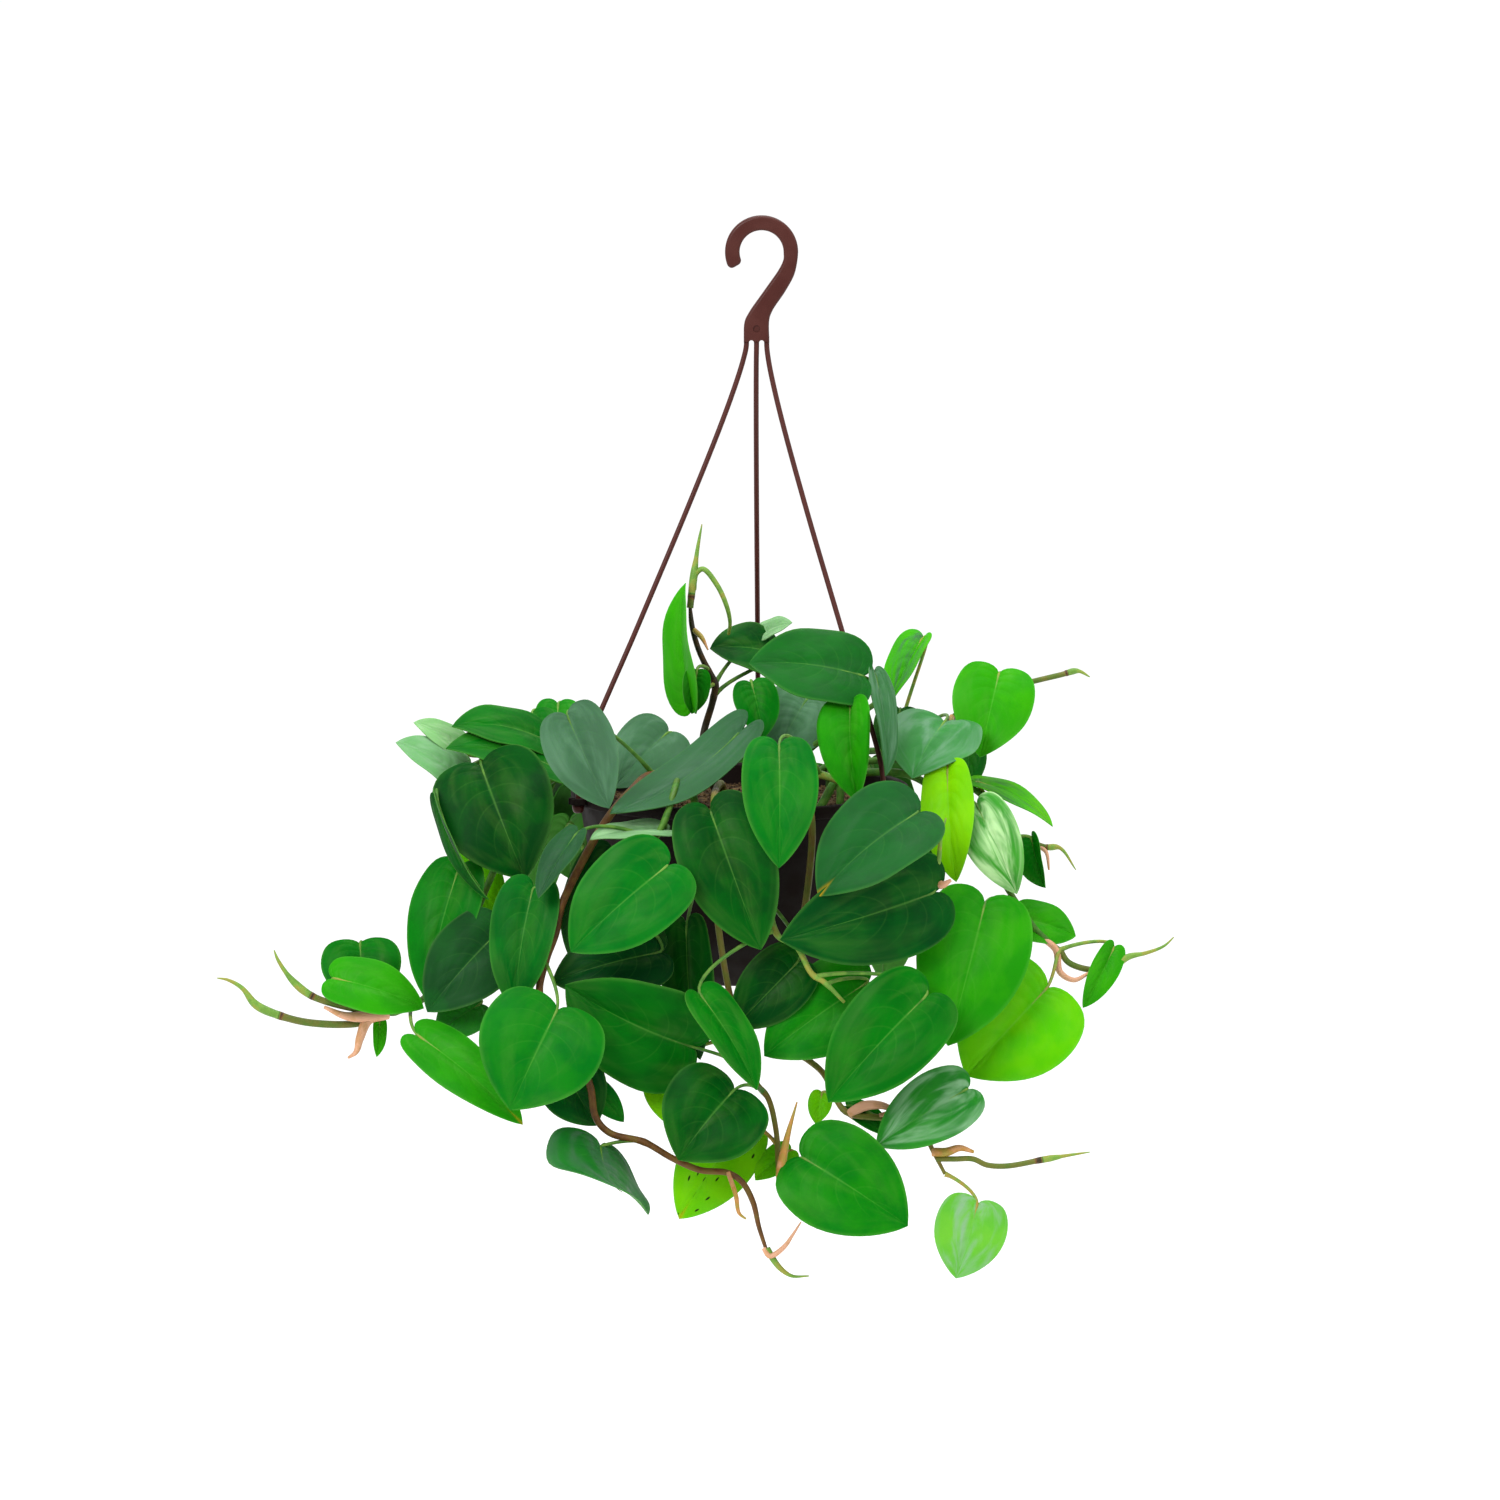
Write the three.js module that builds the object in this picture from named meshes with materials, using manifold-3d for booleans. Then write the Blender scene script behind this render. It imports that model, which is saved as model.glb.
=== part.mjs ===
// A heartleaf philodendron in a hanging pot, in millimetres, +Z up.
// The origin is the seat of the hook, where the rail or bracket that carries the pot touches it.
// A moulded hanger of one hook and three strands carries a bowl-shaped plastic pot by three lugs.
// The pot holds soil, and every leafy stem stands in a plain hole in that soil.

import * as THREE from "three";
import { mergeVertices } from "three/addons/utils/BufferGeometryUtils.js";
import Module from "manifold-3d";

const wasm = await Module();
wasm.setup();

// Driving dimensions: where the pot hangs
const POT_AXIS_X = -10.75; // the pot hangs a little to the left of the hook's seat
const RIM_DROP = 279; // from the hook's seat down to the top of the rim
const VIEW_TILT = THREE.MathUtils.degToRad(8);
const VIEW_DISTANCE = 6000;
const VIEW_MIDDLE = [5, 18];

// Driving dimensions: pot and soil
const RIM_RADIUS = 84.5;
const RIM_DEPTH = 6;
const RIM_LIP = 3.5;
const POT_HEIGHT = 94;
const BASE_RADIUS = 47;
const BOWL_BELLY = [74, -62];
const POT_WALL = 1.8;
const POT_FLOOR = 2.4;
const DRAIN_RADIUS = 4;
const DRAIN_CIRCLE = 30;
const DRAIN_COUNT = 6;
const SOIL_BELOW_RIM = 10;
const SOIL_CROWN = 3;
const FIT_GAP = 0.3;
const ROUND_SIDES = 28;
const BORE_SIDES = 6;

// Driving dimensions: lugs and hanger
const LUG_ANGLES = [84, 204, 324];
const LUG_CIRCLE = 88;
const LUG_RADIUS = 4.8;
const LUG_HEIGHT = 3;
const LUG_BELOW_RIM = 1;
const LUG_SLOT = 2.2;
const STRAND_RADIUS = 1.3;
const STRAND_PITCH = 5.1;
const STRAND_BOW = 3.3;
const STRAND_SIDES = 6;
const BEAD_RADIUS = 3.1;
const BEAD_HEIGHT = 4;
const HOOK_INNER = 10.9;
const HOOK_BAND = 7.3;
const HOOK_THICKNESS = 5.6;
const HOOK_BEVEL = 0.8;
const HOOK_END = 209;
const SHANK_END = 56;
const SHANK_MIDDLE_X = -2.5;
const SHANK_WIDTH = 12.8;

// Driving dimensions: stems and leaves
const ROOT_DEPTH = 26;
const BLADE_THICKNESS = 0.9;
const BLADE_DROOP = 0.5;
const BLADE_WAVE = 0.035;
const PETIOLE_RADIUS = 1.1;
const PETIOLE_END_RADIUS = 0.42;
const PETIOLE_SIDES = 3;
const PETIOLE_STEPS = 2;
const STEM_SIDES = 4;
const FALL_RADIUS = 104;
const FALL_LEAN = 15;
const FALL_LENGTH = 50;
const FALL_STEP = 17;
const MIDRIB = [0, 0.3, 0.62, 1];
const HALF_OUTLINE = [
  [-0.09, 0.14],
  [-0.05, 0.35],
  [0.15, 0.48],
  [0.42, 0.49],
  [0.7, 0.37],
  [0.9, 0.17],
];

// Leaf places are read square to the view, which looks down on the pot by VIEW_TILT.
// A view point is [right, depth, up] from the middle of the rim; depth grows away from the viewer,
// and right and up are as they look at the rim's own distance, so nearer points are drawn in a little.
function turned([right, depth, up]) {
  const c = Math.cos(VIEW_TILT);
  const s = Math.sin(VIEW_TILT);
  return new THREE.Vector3(right, depth * c + up * s, up * c - depth * s);
}

function placed([right, depth, up]) {
  const [middleRight, middleUp] = VIEW_MIDDLE;
  const share = 1 + depth / VIEW_DISTANCE;
  const point = [middleRight + (right - middleRight) * share, depth, middleUp + (up - middleUp) * share];
  return turned(point).add(new THREE.Vector3(POT_AXIS_X, 0, -RIM_DROP));
}

// The way a blade's upper face looks, from its turn to the right and its tilt upwards in degrees.
function facingOf([turn, tilt]) {
  const a = THREE.MathUtils.degToRad(turn);
  const b = THREE.MathUtils.degToRad(tilt);
  return turned([Math.sin(a) * Math.cos(b), -Math.cos(a) * Math.cos(b), Math.sin(b)]);
}

// One leaf: its node along the stem (0 to 1), where petiole meets blade, the tip, width, facing,
// the slope of its two halves (fold), the rise of its arched midrib (arch) and its youth (0 to 1).
function leaf(node, base, tip, width, facing, fold, arch, youth) {
  return { node, base: placed(base), tip: placed(tip), width, facing: facingOf(facing), fold, arch, youth };
}

// One tapering new leaf, sheath or aerial root: its radius at each end and its route.
function shoot(startRadius, endRadius, route) {
  return { startRadius, endRadius, route: route.map(placed) };
}

// One leafy stem: its name, where it leaves the soil, its radius, route, leaves and shoots.
function vine(name, root, radius, route, leaves, shoots) {
  return { name, root, radius, route: route.map(placed), leaves, shoots };
}

function onCircle(radius, degrees) {
  const a = THREE.MathUtils.degToRad(degrees);
  return [radius * Math.cos(a), radius * Math.sin(a)];
}

// A stem that falls over the far side of the rim: its root, the azimuth where it falls, the height
// of its first leaf above the rim and how many leaves hang from it like shingles, facing outwards.
function fallingVine(name, root, azimuth, top, count) {
  const at = (radius, turn, height) => {
    const [x, y] = onCircle(radius, azimuth + turn);
    return new THREE.Vector3(POT_AXIS_X + x, y, height - RIM_DROP);
  };
  const end = top - FALL_STEP * count;
  const leaves = Array.from({ length: count }, (_, i) => {
    const side = i % 2 === 0 ? 1 : -1;
    const height = top - FALL_STEP * i;
    const [outX, outY] = onCircle(1, azimuth + 5 * side);
    return {
      node: 0.6 + (0.38 * i) / (count - 1),
      base: at(FALL_RADIUS, 4 * side, height),
      tip: at(FALL_RADIUS + FALL_LEAN, 6 * side, height - FALL_LENGTH),
      width: 46 - 2 * i,
      facing: new THREE.Vector3(outX, outY, 0.3).normalize(),
      fold: 0.3,
      arch: 0.07,
      youth: 0.1 + 0.15 * (i % 3),
    };
  });
  const route = [at(64, 0, 4), at(80, 0, 8), at(91, 0, 3), at(97, 0, (top + end) / 2), at(98, 0, end)];
  return { name, root, radius: 2, route, leaves, shoots: [] };
}

const VINES = [
  vine("vine_upright", [-12, 22], 2,
    [[-17, 20, 10], [-18.5, 21, 24], [-13.5, 21, 43], [-12.5, 20, 51], [-17, 18, 60], [-21, 17, 69],
      [-24, 16, 80], [-25, 16, 90]],
    [
      leaf(0.45, [-24.5, 6, 41], [-27.5, 12, 101.5], 32, [-62, 0], 0.5, 0.06, 0.6),
      leaf(0.6, [-21.5, 2, 57], [-24, 3, 36], 15, [20, 0], 0.4, 0.05, 0.4),
      leaf(0.35, [16.7, 30, 67], [-15, 24, 69], 32, [-5, 40], 0.3, 0.08, 0.1),
      leaf(0.5, [10, 36, 76], [26, 32, 82], 15, [20, 50], 0.4, 0.05, 0.3),
    ],
    [
      shoot(2.2, 0.4, [[-25, 16, 89], [-23, 16, 106], [-21, 16, 120], [-19, 16, 131]]),
      shoot(1.4, 0.4, [[-23, 16, 78], [-19, 11, 74], [-16, 9, 68]]),
      shoot(1.2, 0.8, [[-23, 16, 98], [-22, 16, 106], [-18.5, 15, 108.5], [-11.5, 14, 100.5],
        [-6.7, 14, 90], [-5, 18, 82], [-5.7, 24, 76]]),
    ]),
  vine("vine_top_right", [24, 4], 2,
    [[23, 4, 6], [30, -4, 14], [42, -10, 24], [54, -14, 32], [66, -14, 40], [74, -10, 46]],
    [
      leaf(0.75, [61, -58, 55.5], [4.5, -62, 61.5], 46, [-5, 36], 0.3, 0.08, 0.15),
      leaf(0.15, [6, -14, 51], [12, -22, 24], 23, [10, 12], 0.35, 0.06, 0.2),
      leaf(0.3, [33, 6, 43], [17, -8, 13], 40, [5, 40], 0.3, 0.08, 0.1),
      leaf(0.55, [55, -70, 40], [59, -84, -8], 28, [-20, 10], 0.9, 0.1, 0.4),
      leaf(0.85, [68, -48, 56], [73, -60, 5], 22, [58, 5], 0.4, 0.05, 0.1),
    ],
    []),
  vine("vine_right_back", [45, 28], 2,
    [[46, 29, 8], [62, 38, 17], [76, 44, 18], [94, 38, 26], [112, 26, 38], [130, 12, 48], [141, 6, 51]],
    [
      leaf(0.9, [129.5, -6, 56.5], [120, -22, 14.5], 41, [2, 20], 0.3, 0.08, 0.7),
      leaf(0.6, [102, -20, 32], [86, -44, 4], 50, [-10, 40], 0.35, 0.08, 0.2),
      leaf(0.4, [91, 22, 74], [76, 12, 43], 21, [-40, 5], 0.7, 0.05, 0.6),
      leaf(0.4, [80, 26, 38], [76, 18, 12], 24, [0, 30], 0.3, 0.08, 0.05),
      leaf(0.75, [114, 20, 28], [113, 12, -4], 20, [30, 10], 0.3, 0.06, 0.1),
      leaf(0.7, [103.6, -46, 8.4], [108, -56, -48], 28, [-22, 10], 0.35, 0.06, 0.9),
    ],
    [
      shoot(1.8, 0.4, [[141, 6, 51], [160, 6, 55.5], [169, 6, 57.5], [175, 6, 54.5]]),
    ]),
  vine("vine_right_high", [50, -5], 2,
    [[52, -4, 8], [70, 2, 13], [88, 6, 12], [105, 0, 6], [120, -8, -4], [132, -14, -16], [139, -16, -25.5]],
    [
      leaf(0.8, [118, -2, 2.5], [156.5, -12, -20], 20, [10, 68], 0.3, 0.1, 0.75),
      leaf(0.97, [145.5, -18, -26], [152.5, -24, -51], 17, [-40, 0], 0.9, 0.05, 0.3),
    ],
    [
      shoot(1.8, 0.4, [[139, -16, -25], [152.5, -16, -30.5], [160, -16, -31], [168, -16, -42]]),
      shoot(1, 0.5, [[149, -16, -30], [153, -18, -33], [154.5, -18, -42]]),
    ]),
  vine("vine_right", [40, -24], 2.2,
    [[50, -24, 4], [68, -24, 7], [86, -26, 5], [104, -32, -8], [122, -40, -32], [138, -44, -58],
      [150, -44, -74], [160, -44, -82]],
    [
      leaf(0.75, [122.5, -72, -58.5], [104, -84, -130], 56, [5, 10], 0.3, 0.08, 0.5),
      leaf(0.85, [139, -40, -66], [168, -34, -75], 25, [15, 30], 0.3, 0.08, 0.45),
      leaf(0.95, [153.5, -58, -101], [113, -64, -145], 62, [5, 12], 0.3, 0.08, 0.85),
      leaf(0.98, [187, -44, -81], [171.5, -46, -111], 15, [20, 10], 0.6, 0.05, 0.5),
      leaf(0.52, [118.5, -48, -9.5], [138.5, -58, -54], 29, [-5, 8], 0.3, 0.08, 0.4),
    ],
    [
      shoot(2, 0.4, [[160, -44, -82], [164, -44, -88], [173, -44, -91.5], [184.5, -44, -91.5],
        [194, -44, -85.5], [203, -44, -83.5], [212, -44, -80], [217, -44, -75.5]]),
      shoot(1.6, 0.8, [[152, -44, -76.5], [158, -45, -82], [160, -46, -93], [167, -47, -97],
        [174.5, -48, -93.5]]),
    ]),
  vine("vine_front_right", [30, -30], 2.2,
    [[34, -34, 4], [46, -54, 4], [56, -72, -2], [66, -84, -10], [78, -88, -18], [90, -88, -30],
      [98, -86, -48]],
    [
      leaf(0.55, [89, -104, -13], [39, -116, -55], 50, [-12, 25], 0.45, 0.1, 0.12),
      leaf(0.9, [98, -92, -53], [20, -110, -77], 52, [0, -8], 0.3, 0.1, 0.05),
      leaf(0.2, [19.5, -104, 19.5], [19.5, -120, -41], 38, [4, 14], 0.35, 0.1, 0.3),
    ],
    [
      shoot(2.2, 0.8, [[98, -87, -47], [101, -91, -49.5], [105.5, -92, -47]]),
      shoot(1.2, 0.5, [[98, -87, -46], [99.5, -93, -36], [100.5, -94, -25], [103, -93, -16]]),
    ]),
  vine("vine_front_green", [14, -30], 2,
    [[12, -34, 3], [11, -62, 4], [10, -86, -3], [12, -93, -22], [16, -94, -42], [15, -98, -60],
      [19, -103, -75], [28, -104, -80], [36, -104, -94], [42, -104, -98], [52, -98, -108]],
    [
      leaf(0.62, [-19.5, -112, -104.5], [8.5, -120, -152], 27, [35, 8], 0.45, 0.06, 0.25),
      leaf(0.84, [93.5, -104, -104.5], [44, -112, -158], 50, [-5, 12], 0.3, 0.08, 0.25),
      leaf(0.95, [64, -82, -98], [12, -88, -135], 46, [0, 15], 0.3, 0.08, 0.35),
      leaf(0.5, [29, -88, -88], [-3, -86, -121], 34, [0, 5], 0.3, 0.06, 0.03),
    ],
    []),
  vine("vine_low_front", [-8, -34], 2,
    [[-9, -36, 0], [-12, -62, -2], [-13, -87, -8], [-14, -97, -24], [-12, -92, -60], [-6, -84, -100],
      [2, -82, -130], [8.5, -84, -149], [14, -86, -156], [18, -88, -172], [20, -90, -197],
      [22.5, -90, -202]],
    [
      leaf(0.25, [-15, -102, -12], [10.5, -109, -82], 48, [-5, 8], 0.3, 0.06, 0.05),
      leaf(0.35, [-27, -80, -70], [-20, -78, -137], 30, [-30, 0], 0.3, 0.06, 0.02),
      leaf(0.62, [-24, -90, -130.5], [-87.5, -98, -99.5], 58, [5, -26], 0.5, 0.1, 0.3),
      leaf(0.72, [-3, -106, -152], [-31, -112, -187], 54, [-5, 15], 0.3, 0.1, 0.1),
      leaf(0.9, [31, -100, -185.5], [84, -108, -220], 54, [5, 8], 0.3, 0.08, 0.35),
      leaf(0.85, [1, -74, -169], [-30.5, -80, -216.5], 38, [0, 10], 0.3, 0.08, 0.8),
      leaf(0.97, [25, -80, -182], [7.5, -84, -197], 16, [-20, 20], 0.3, 0.08, 0.85),
      leaf(0.6, [-41, -76, -147], [-22, -80, -173], 22, [-10, 10], 0.3, 0.08, 0.9),
    ],
    [
      shoot(2.8, 0.4, [[22, -91, -202], [20.5, -98, -193], [23.5, -99, -176], [28.5, -99, -158]]),
    ]),
  vine("vine_right_low", [20, -28], 2,
    [[20, -30, 3], [27, -58, 5], [33, -82, -3], [36, -90, -20], [34, -86, -50], [28, -76, -85],
      [22, -70, -112], [25, -70, -131], [34, -72, -137], [41.5, -76, -143.5], [53, -84, -163],
      [71, -88, -166], [82, -90, -169], [92, -92, -173], [96, -92, -181.5], [102.5, -92, -194]],
    [
      leaf(0.85, [113.5, -92, -151.5], [68, -98, -180], 35, [8, 20], 0.3, 0.08, 0.35),
      leaf(1, [118.8, -92, -209], [108, -96, -246.3], 36, [5, 8], 0.25, 0.06, 0.45),
      leaf(0.7, [41, -78, -153.5], [38, -82, -169], 12, [0, 15], 0.3, 0.08, 0.85),
      leaf(0.72, [54, -78, -160], [77, -80, -176], 13, [0, 35], 0.5, 0.08, 0.2),
    ],
    [
      shoot(1.8, 0.4, [[98, -92, -186.5], [107.5, -92, -186.5], [116.5, -92, -186.5], [123.5, -92, -189.5],
        [133.5, -92, -190], [150.5, -92, -187], [162, -92, -185], [175, -92, -183]]),
      shoot(2.2, 0.8, [[96, -92, -183], [103, -93, -183], [110, -93, -181], [117, -93, -183]]),
      shoot(2.6, 0.8, [[55, -84, -164], [62, -87, -160], [72, -88, -160], [81, -88, -165]]),
      shoot(1.4, 0.5, [[70, -88, -165], [79, -90, -162], [85, -91, -157]]),
    ]),
  vine("vine_front_left", [-34, -34], 2.2,
    [[-36, -38, 3], [-46, -56, 5], [-54, -70, -2], [-66, -84, -16], [-80, -94, -40], [-90, -98, -62],
      [-92, -98, -73], [-98, -98, -90], [-100, -98, -105], [-88, -98, -128], [-75.5, -98, -148],
      [-72, -98, -166], [-65, -98, -173.5], [-48, -98, -178], [-34, -98, -186], [-20, -97, -192],
      [-6, -96, -193.5], [1, -95, -198], [6.5, -94, -208], [9.5, -93, -220.5], [13.5, -92, -233]],
    [
      leaf(0.38, [-91.5, -112, -112], [-115, -120, -162], 62, [0, 12], 0.3, 0.08, 0.3),
      leaf(0.1, [-86.3, -84, 35], [-65.4, -99, -11.2], 36, [-8, 10], 0.35, 0.08, 0.05),
      leaf(0.3, [-103.5, -92, -50.5], [-113, -96, -112], 34, [-15, 8], 0.4, 0.08, 0.2),
      leaf(0.45, [-90, -90, -138], [-72, -92, -170], 34, [-10, 10], 0.3, 0.06, 0.05),
      leaf(0.48, [-76, -88, -148], [-58, -90, -168], 14, [10, 10], 0.3, 0.06, 0.3),
      leaf(0.68, [-69.5, -98, -179.2], [-55, -152, -203.5], 60, [35, 17], 0, -0.08, 0.3),
    ],
    [
      shoot(1.6, 0.4, [[13.5, -92, -231], [16.5, -92, -236.5], [20.5, -92, -241.5], [26, -92, -245],
        [34.5, -92, -245]]),
      shoot(1.4, 0.4, [[12, -92, -231], [15, -93, -235], [22, -93, -230.5], [26, -93, -225],
        [30.5, -93, -218]]),
      shoot(1.1, 0.5, [[-6, -97, -193], [-2, -99, -205], [-0.5, -100, -213.5], [3, -100, -216.5]]),
    ]),
  vine("vine_left_low", [-40, -12], 2.2,
    [[-46, -11, 5], [-64, -8, 8], [-87, -6, 7], [-106, -14, -8], [-122, -28, -40], [-136, -40, -72],
      [-150, -48, -98], [-162, -50, -109], [-172, -50, -113], [-180, -50, -114]],
    [
      leaf(0.55, [-141, -62, -42], [-156, -72, -108], 36, [-20, 8], 0.35, 0.08, 0.2),
      leaf(0.7, [-120, -78, -72], [-156.5, -84, -113], 42, [-10, 10], 0.3, 0.08, 0.1),
      leaf(0.9, [-190, -50, -79], [-188, -56, -110], 40, [0, 15], 0.3, 0.08, 0.2),
      leaf(0.93, [-203, -62, -96], [-158, -66, -111], 30, [0, 30], 0.3, 0.08, 0.5),
      leaf(0.97, [-180, -46, -117], [-181.5, -48, -135.5], 8, [30, 0], 0.4, 0.05, 0.65),
      leaf(0.8, [-160.5, -84, -125], [-108.5, -98, -169.2], 28, [0, 28], 0.3, 0.08, 0.5),
      leaf(0.75, [-130, -70, -109], [-152, -76, -124], 24, [0, 20], 0.3, 0.08, 0.4),
    ],
    [
      shoot(2.4, 0.4, [[-179, -50, -114], [-190, -50, -118.5], [-214, -50, -118.5], [-229.5, -50, -115],
        [-242, -50, -109.4], [-249, -50, -101], [-256, -50, -97], [-261.5, -50, -96]]),
      shoot(2.2, 0.4, [[-179, -50, -113], [-194.5, -54, -111], [-214, -54, -105], [-224, -54, -97],
        [-231, -54, -87], [-233, -54, -82]]),
      shoot(2.6, 0.6, [[-178, -50, -114], [-186, -53, -117], [-190, -54, -126], [-192, -54, -133],
        [-196, -54, -136]]),
      shoot(3.2, 0.8, [[-176, -51, -113.5], [-186, -54, -115], [-197, -56, -115], [-208, -56, -110.5]]),
    ]),
  vine("vine_left_high", [-35, 22], 2,
    [[-42, 22, 8], [-62, 22, 14], [-83, 19, 12], [-100, 8, 12], [-116, -6, 14], [-130, -18, 12],
      [-142, -26, 4], [-150, -30, -6]],
    [
      leaf(0.6, [-129.3, -58, 9.7], [-107.2, -72, -46.7], 60, [-8, 12], 0.35, 0.1, 0.1),
      leaf(0.35, [-98, -20, 23.5], [-144, -34, 30], 34, [-10, 50], 0.3, 0.1, 0.2),
      leaf(0.4, [-92, -34, 9], [-147, -44, 19], 40, [-10, 58], 0.3, 0.1, 0.2),
      leaf(0.3, [-104, -2, 36], [-98, -14, 6], 26, [0, 20], 0.3, 0.08, 0.3),
      leaf(0.25, [-91, 4, 41], [-92, -10, 10], 24, [0, 20], 0.3, 0.08, 0.4),
      leaf(0.7, [-136, -20, 16], [-163, -30, 32], 20, [0, 45], 0.3, 0.08, 0.5),
      leaf(0.8, [-138, -34, 4], [-172, -40, 22], 28, [0, 50], 0.3, 0.08, 0.55),
      leaf(0.97, [-152, -70, -7], [-126, -86, -57], 16, [-78, 0], 0.5, 0.06, 0.1),
      leaf(0.97, [-136, -20, -35], [-121.5, -26, -69.5], 24, [10, 10], 0.3, 0.08, 0.75),
    ],
    []),
  vine("vine_left_front", [-22, -30], 2,
    [[-25, -34, 3], [-30, -58, 6], [-33, -82, -3], [-38, -92, -18], [-46, -96, -32], [-56, -96, -44],
      [-66, -94, -54]],
    [
      leaf(0.15, [-36, -20, 27], [-63, -36, -1], 38, [0, 25], 0.3, 0.08, 0.15),
      leaf(0.25, [1, -54, 28.5], [-65, -104, -13.5], 30, [10, 58], 0.3, -0.08, 0.1),
      leaf(0.6, [-37, -88, -21.5], [-75, -103, -26.5], 26, [0, 70], 0.3, 0.05, 0.3),
      leaf(0.7, [-81.8, -100, -23.3], [-101, -108, -56], 20, [-45, 5], 0.4, 0.05, 0.1),
      leaf(0.8, [-36, -114, -39.5], [-84.7, -120, -83], 50, [-5, 14], 0.3, 0.08, 0.3),
      leaf(0.95, [-40, -90, -83], [-94, -88, -98], 38, [0, 20], 0.3, 0.08, 0.02),
      leaf(0.85, [-64, -84, -34], [-84, -88, -88], 32, [-10, 5], 0.3, 0.08, 0.02),
    ],
    []),
  fallingVine("vine_back_right", [30, 45], 46, 2, 5),
  fallingVine("vine_back_middle", [10, 52], 78, 10, 5),
  fallingVine("vine_back_left", [-17, 50], 111, -2, 4),
  fallingVine("vine_back_far_left", [-30, 40], 143, 8, 3),
];

// Solids
function solidOf(geometry) {
  const bare = geometry.clone();
  bare.deleteAttribute("normal");
  bare.deleteAttribute("uv");
  const merged = mergeVertices(bare, 1e-4);
  const vertProperties = new Float32Array(merged.attributes.position.array);
  const triVerts = new Uint32Array(merged.index.array);
  return new wasm.Manifold(new wasm.Mesh({ numProp: 3, vertProperties, triVerts }));
}

function geometryOf(solid) {
  const mesh = solid.getMesh();
  const geometry = new THREE.BufferGeometry();
  geometry.setAttribute("position", new THREE.BufferAttribute(new Float32Array(mesh.vertProperties), 3));
  geometry.setIndex(new THREE.BufferAttribute(new Uint32Array(mesh.triVerts), 1));
  const faceted = geometry.toNonIndexed();
  faceted.computeVertexNormals();
  return faceted;
}

function solidFrom(points, triangles) {
  const geometry = new THREE.BufferGeometry().setFromPoints(points);
  geometry.setIndex(triangles);
  return solidOf(geometry);
}

function unionOf(solids) {
  return solids.slice(1).reduce((sum, next) => sum.add(next), solids[0]);
}

// A closed tube round a row of points, with a radius at each point and a flat cap at each end.
function tube(points, radii, sides) {
  const rings = [];
  let side = null;
  points.forEach((point, i) => {
    const before = points[Math.max(i - 1, 0)];
    const after = points[Math.min(i + 1, points.length - 1)];
    const along = after.clone().sub(before).normalize();
    const guess = side ?? new THREE.Vector3(1, 0.2, 0);
    side = guess.clone().addScaledVector(along, -guess.dot(along)).normalize();
    const across = along.clone().cross(side);
    for (let k = 0; k < sides; k += 1) {
      const a = (2 * Math.PI * k) / sides;
      const spoke = side.clone().multiplyScalar(Math.cos(a)).addScaledVector(across, Math.sin(a));
      rings.push(point.clone().addScaledVector(spoke, radii[i]));
    }
  });
  const triangles = [];
  for (let i = 0; i + 1 < points.length; i += 1) {
    for (let k = 0; k < sides; k += 1) {
      const a = i * sides + k;
      const b = i * sides + ((k + 1) % sides);
      triangles.push(a, b, b + sides, a, b + sides, a + sides);
    }
  }
  const last = (points.length - 1) * sides;
  for (let k = 1; k + 1 < sides; k += 1) {
    triangles.push(0, k + 1, k, last, last + k, last + k + 1);
  }
  return solidFrom(rings, triangles);
}

// Pot and soil, round the pot's axis with the top of the rim at height 0
function bowlRadius(height) {
  const [bellyRadius, bellyHeight] = BOWL_BELLY;
  const wall = new THREE.QuadraticBezierCurve(
    new THREE.Vector2(BASE_RADIUS, -POT_HEIGHT),
    new THREE.Vector2(bellyRadius, bellyHeight),
    new THREE.Vector2(RIM_RADIUS - RIM_LIP, 0),
  );
  const points = wall.getPoints(40);
  const above = points.findIndex((p) => p.y >= height);
  const upper = points[Math.max(above, 1)];
  const lower = points[Math.max(above, 1) - 1];
  return THREE.MathUtils.mapLinear(height, lower.y, upper.y, lower.x, upper.x);
}

function wallProfile(inset, bottom, top, steps) {
  return Array.from({ length: steps + 1 }, (_, i) => {
    const height = bottom + ((top - bottom) * i) / steps;
    return new THREE.Vector2(bowlRadius(height) - inset, height);
  });
}

function turnedSolid(profile) {
  const geometry = new THREE.LatheGeometry(profile, ROUND_SIDES);
  geometry.rotateX(Math.PI / 2);
  return solidOf(geometry);
}

function upright(radius, height, sides, x, y, bottom) {
  const geometry = new THREE.CylinderGeometry(radius, radius, height, sides);
  geometry.rotateX(Math.PI / 2);
  geometry.translate(x, y, bottom + height / 2);
  return solidOf(geometry);
}

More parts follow.
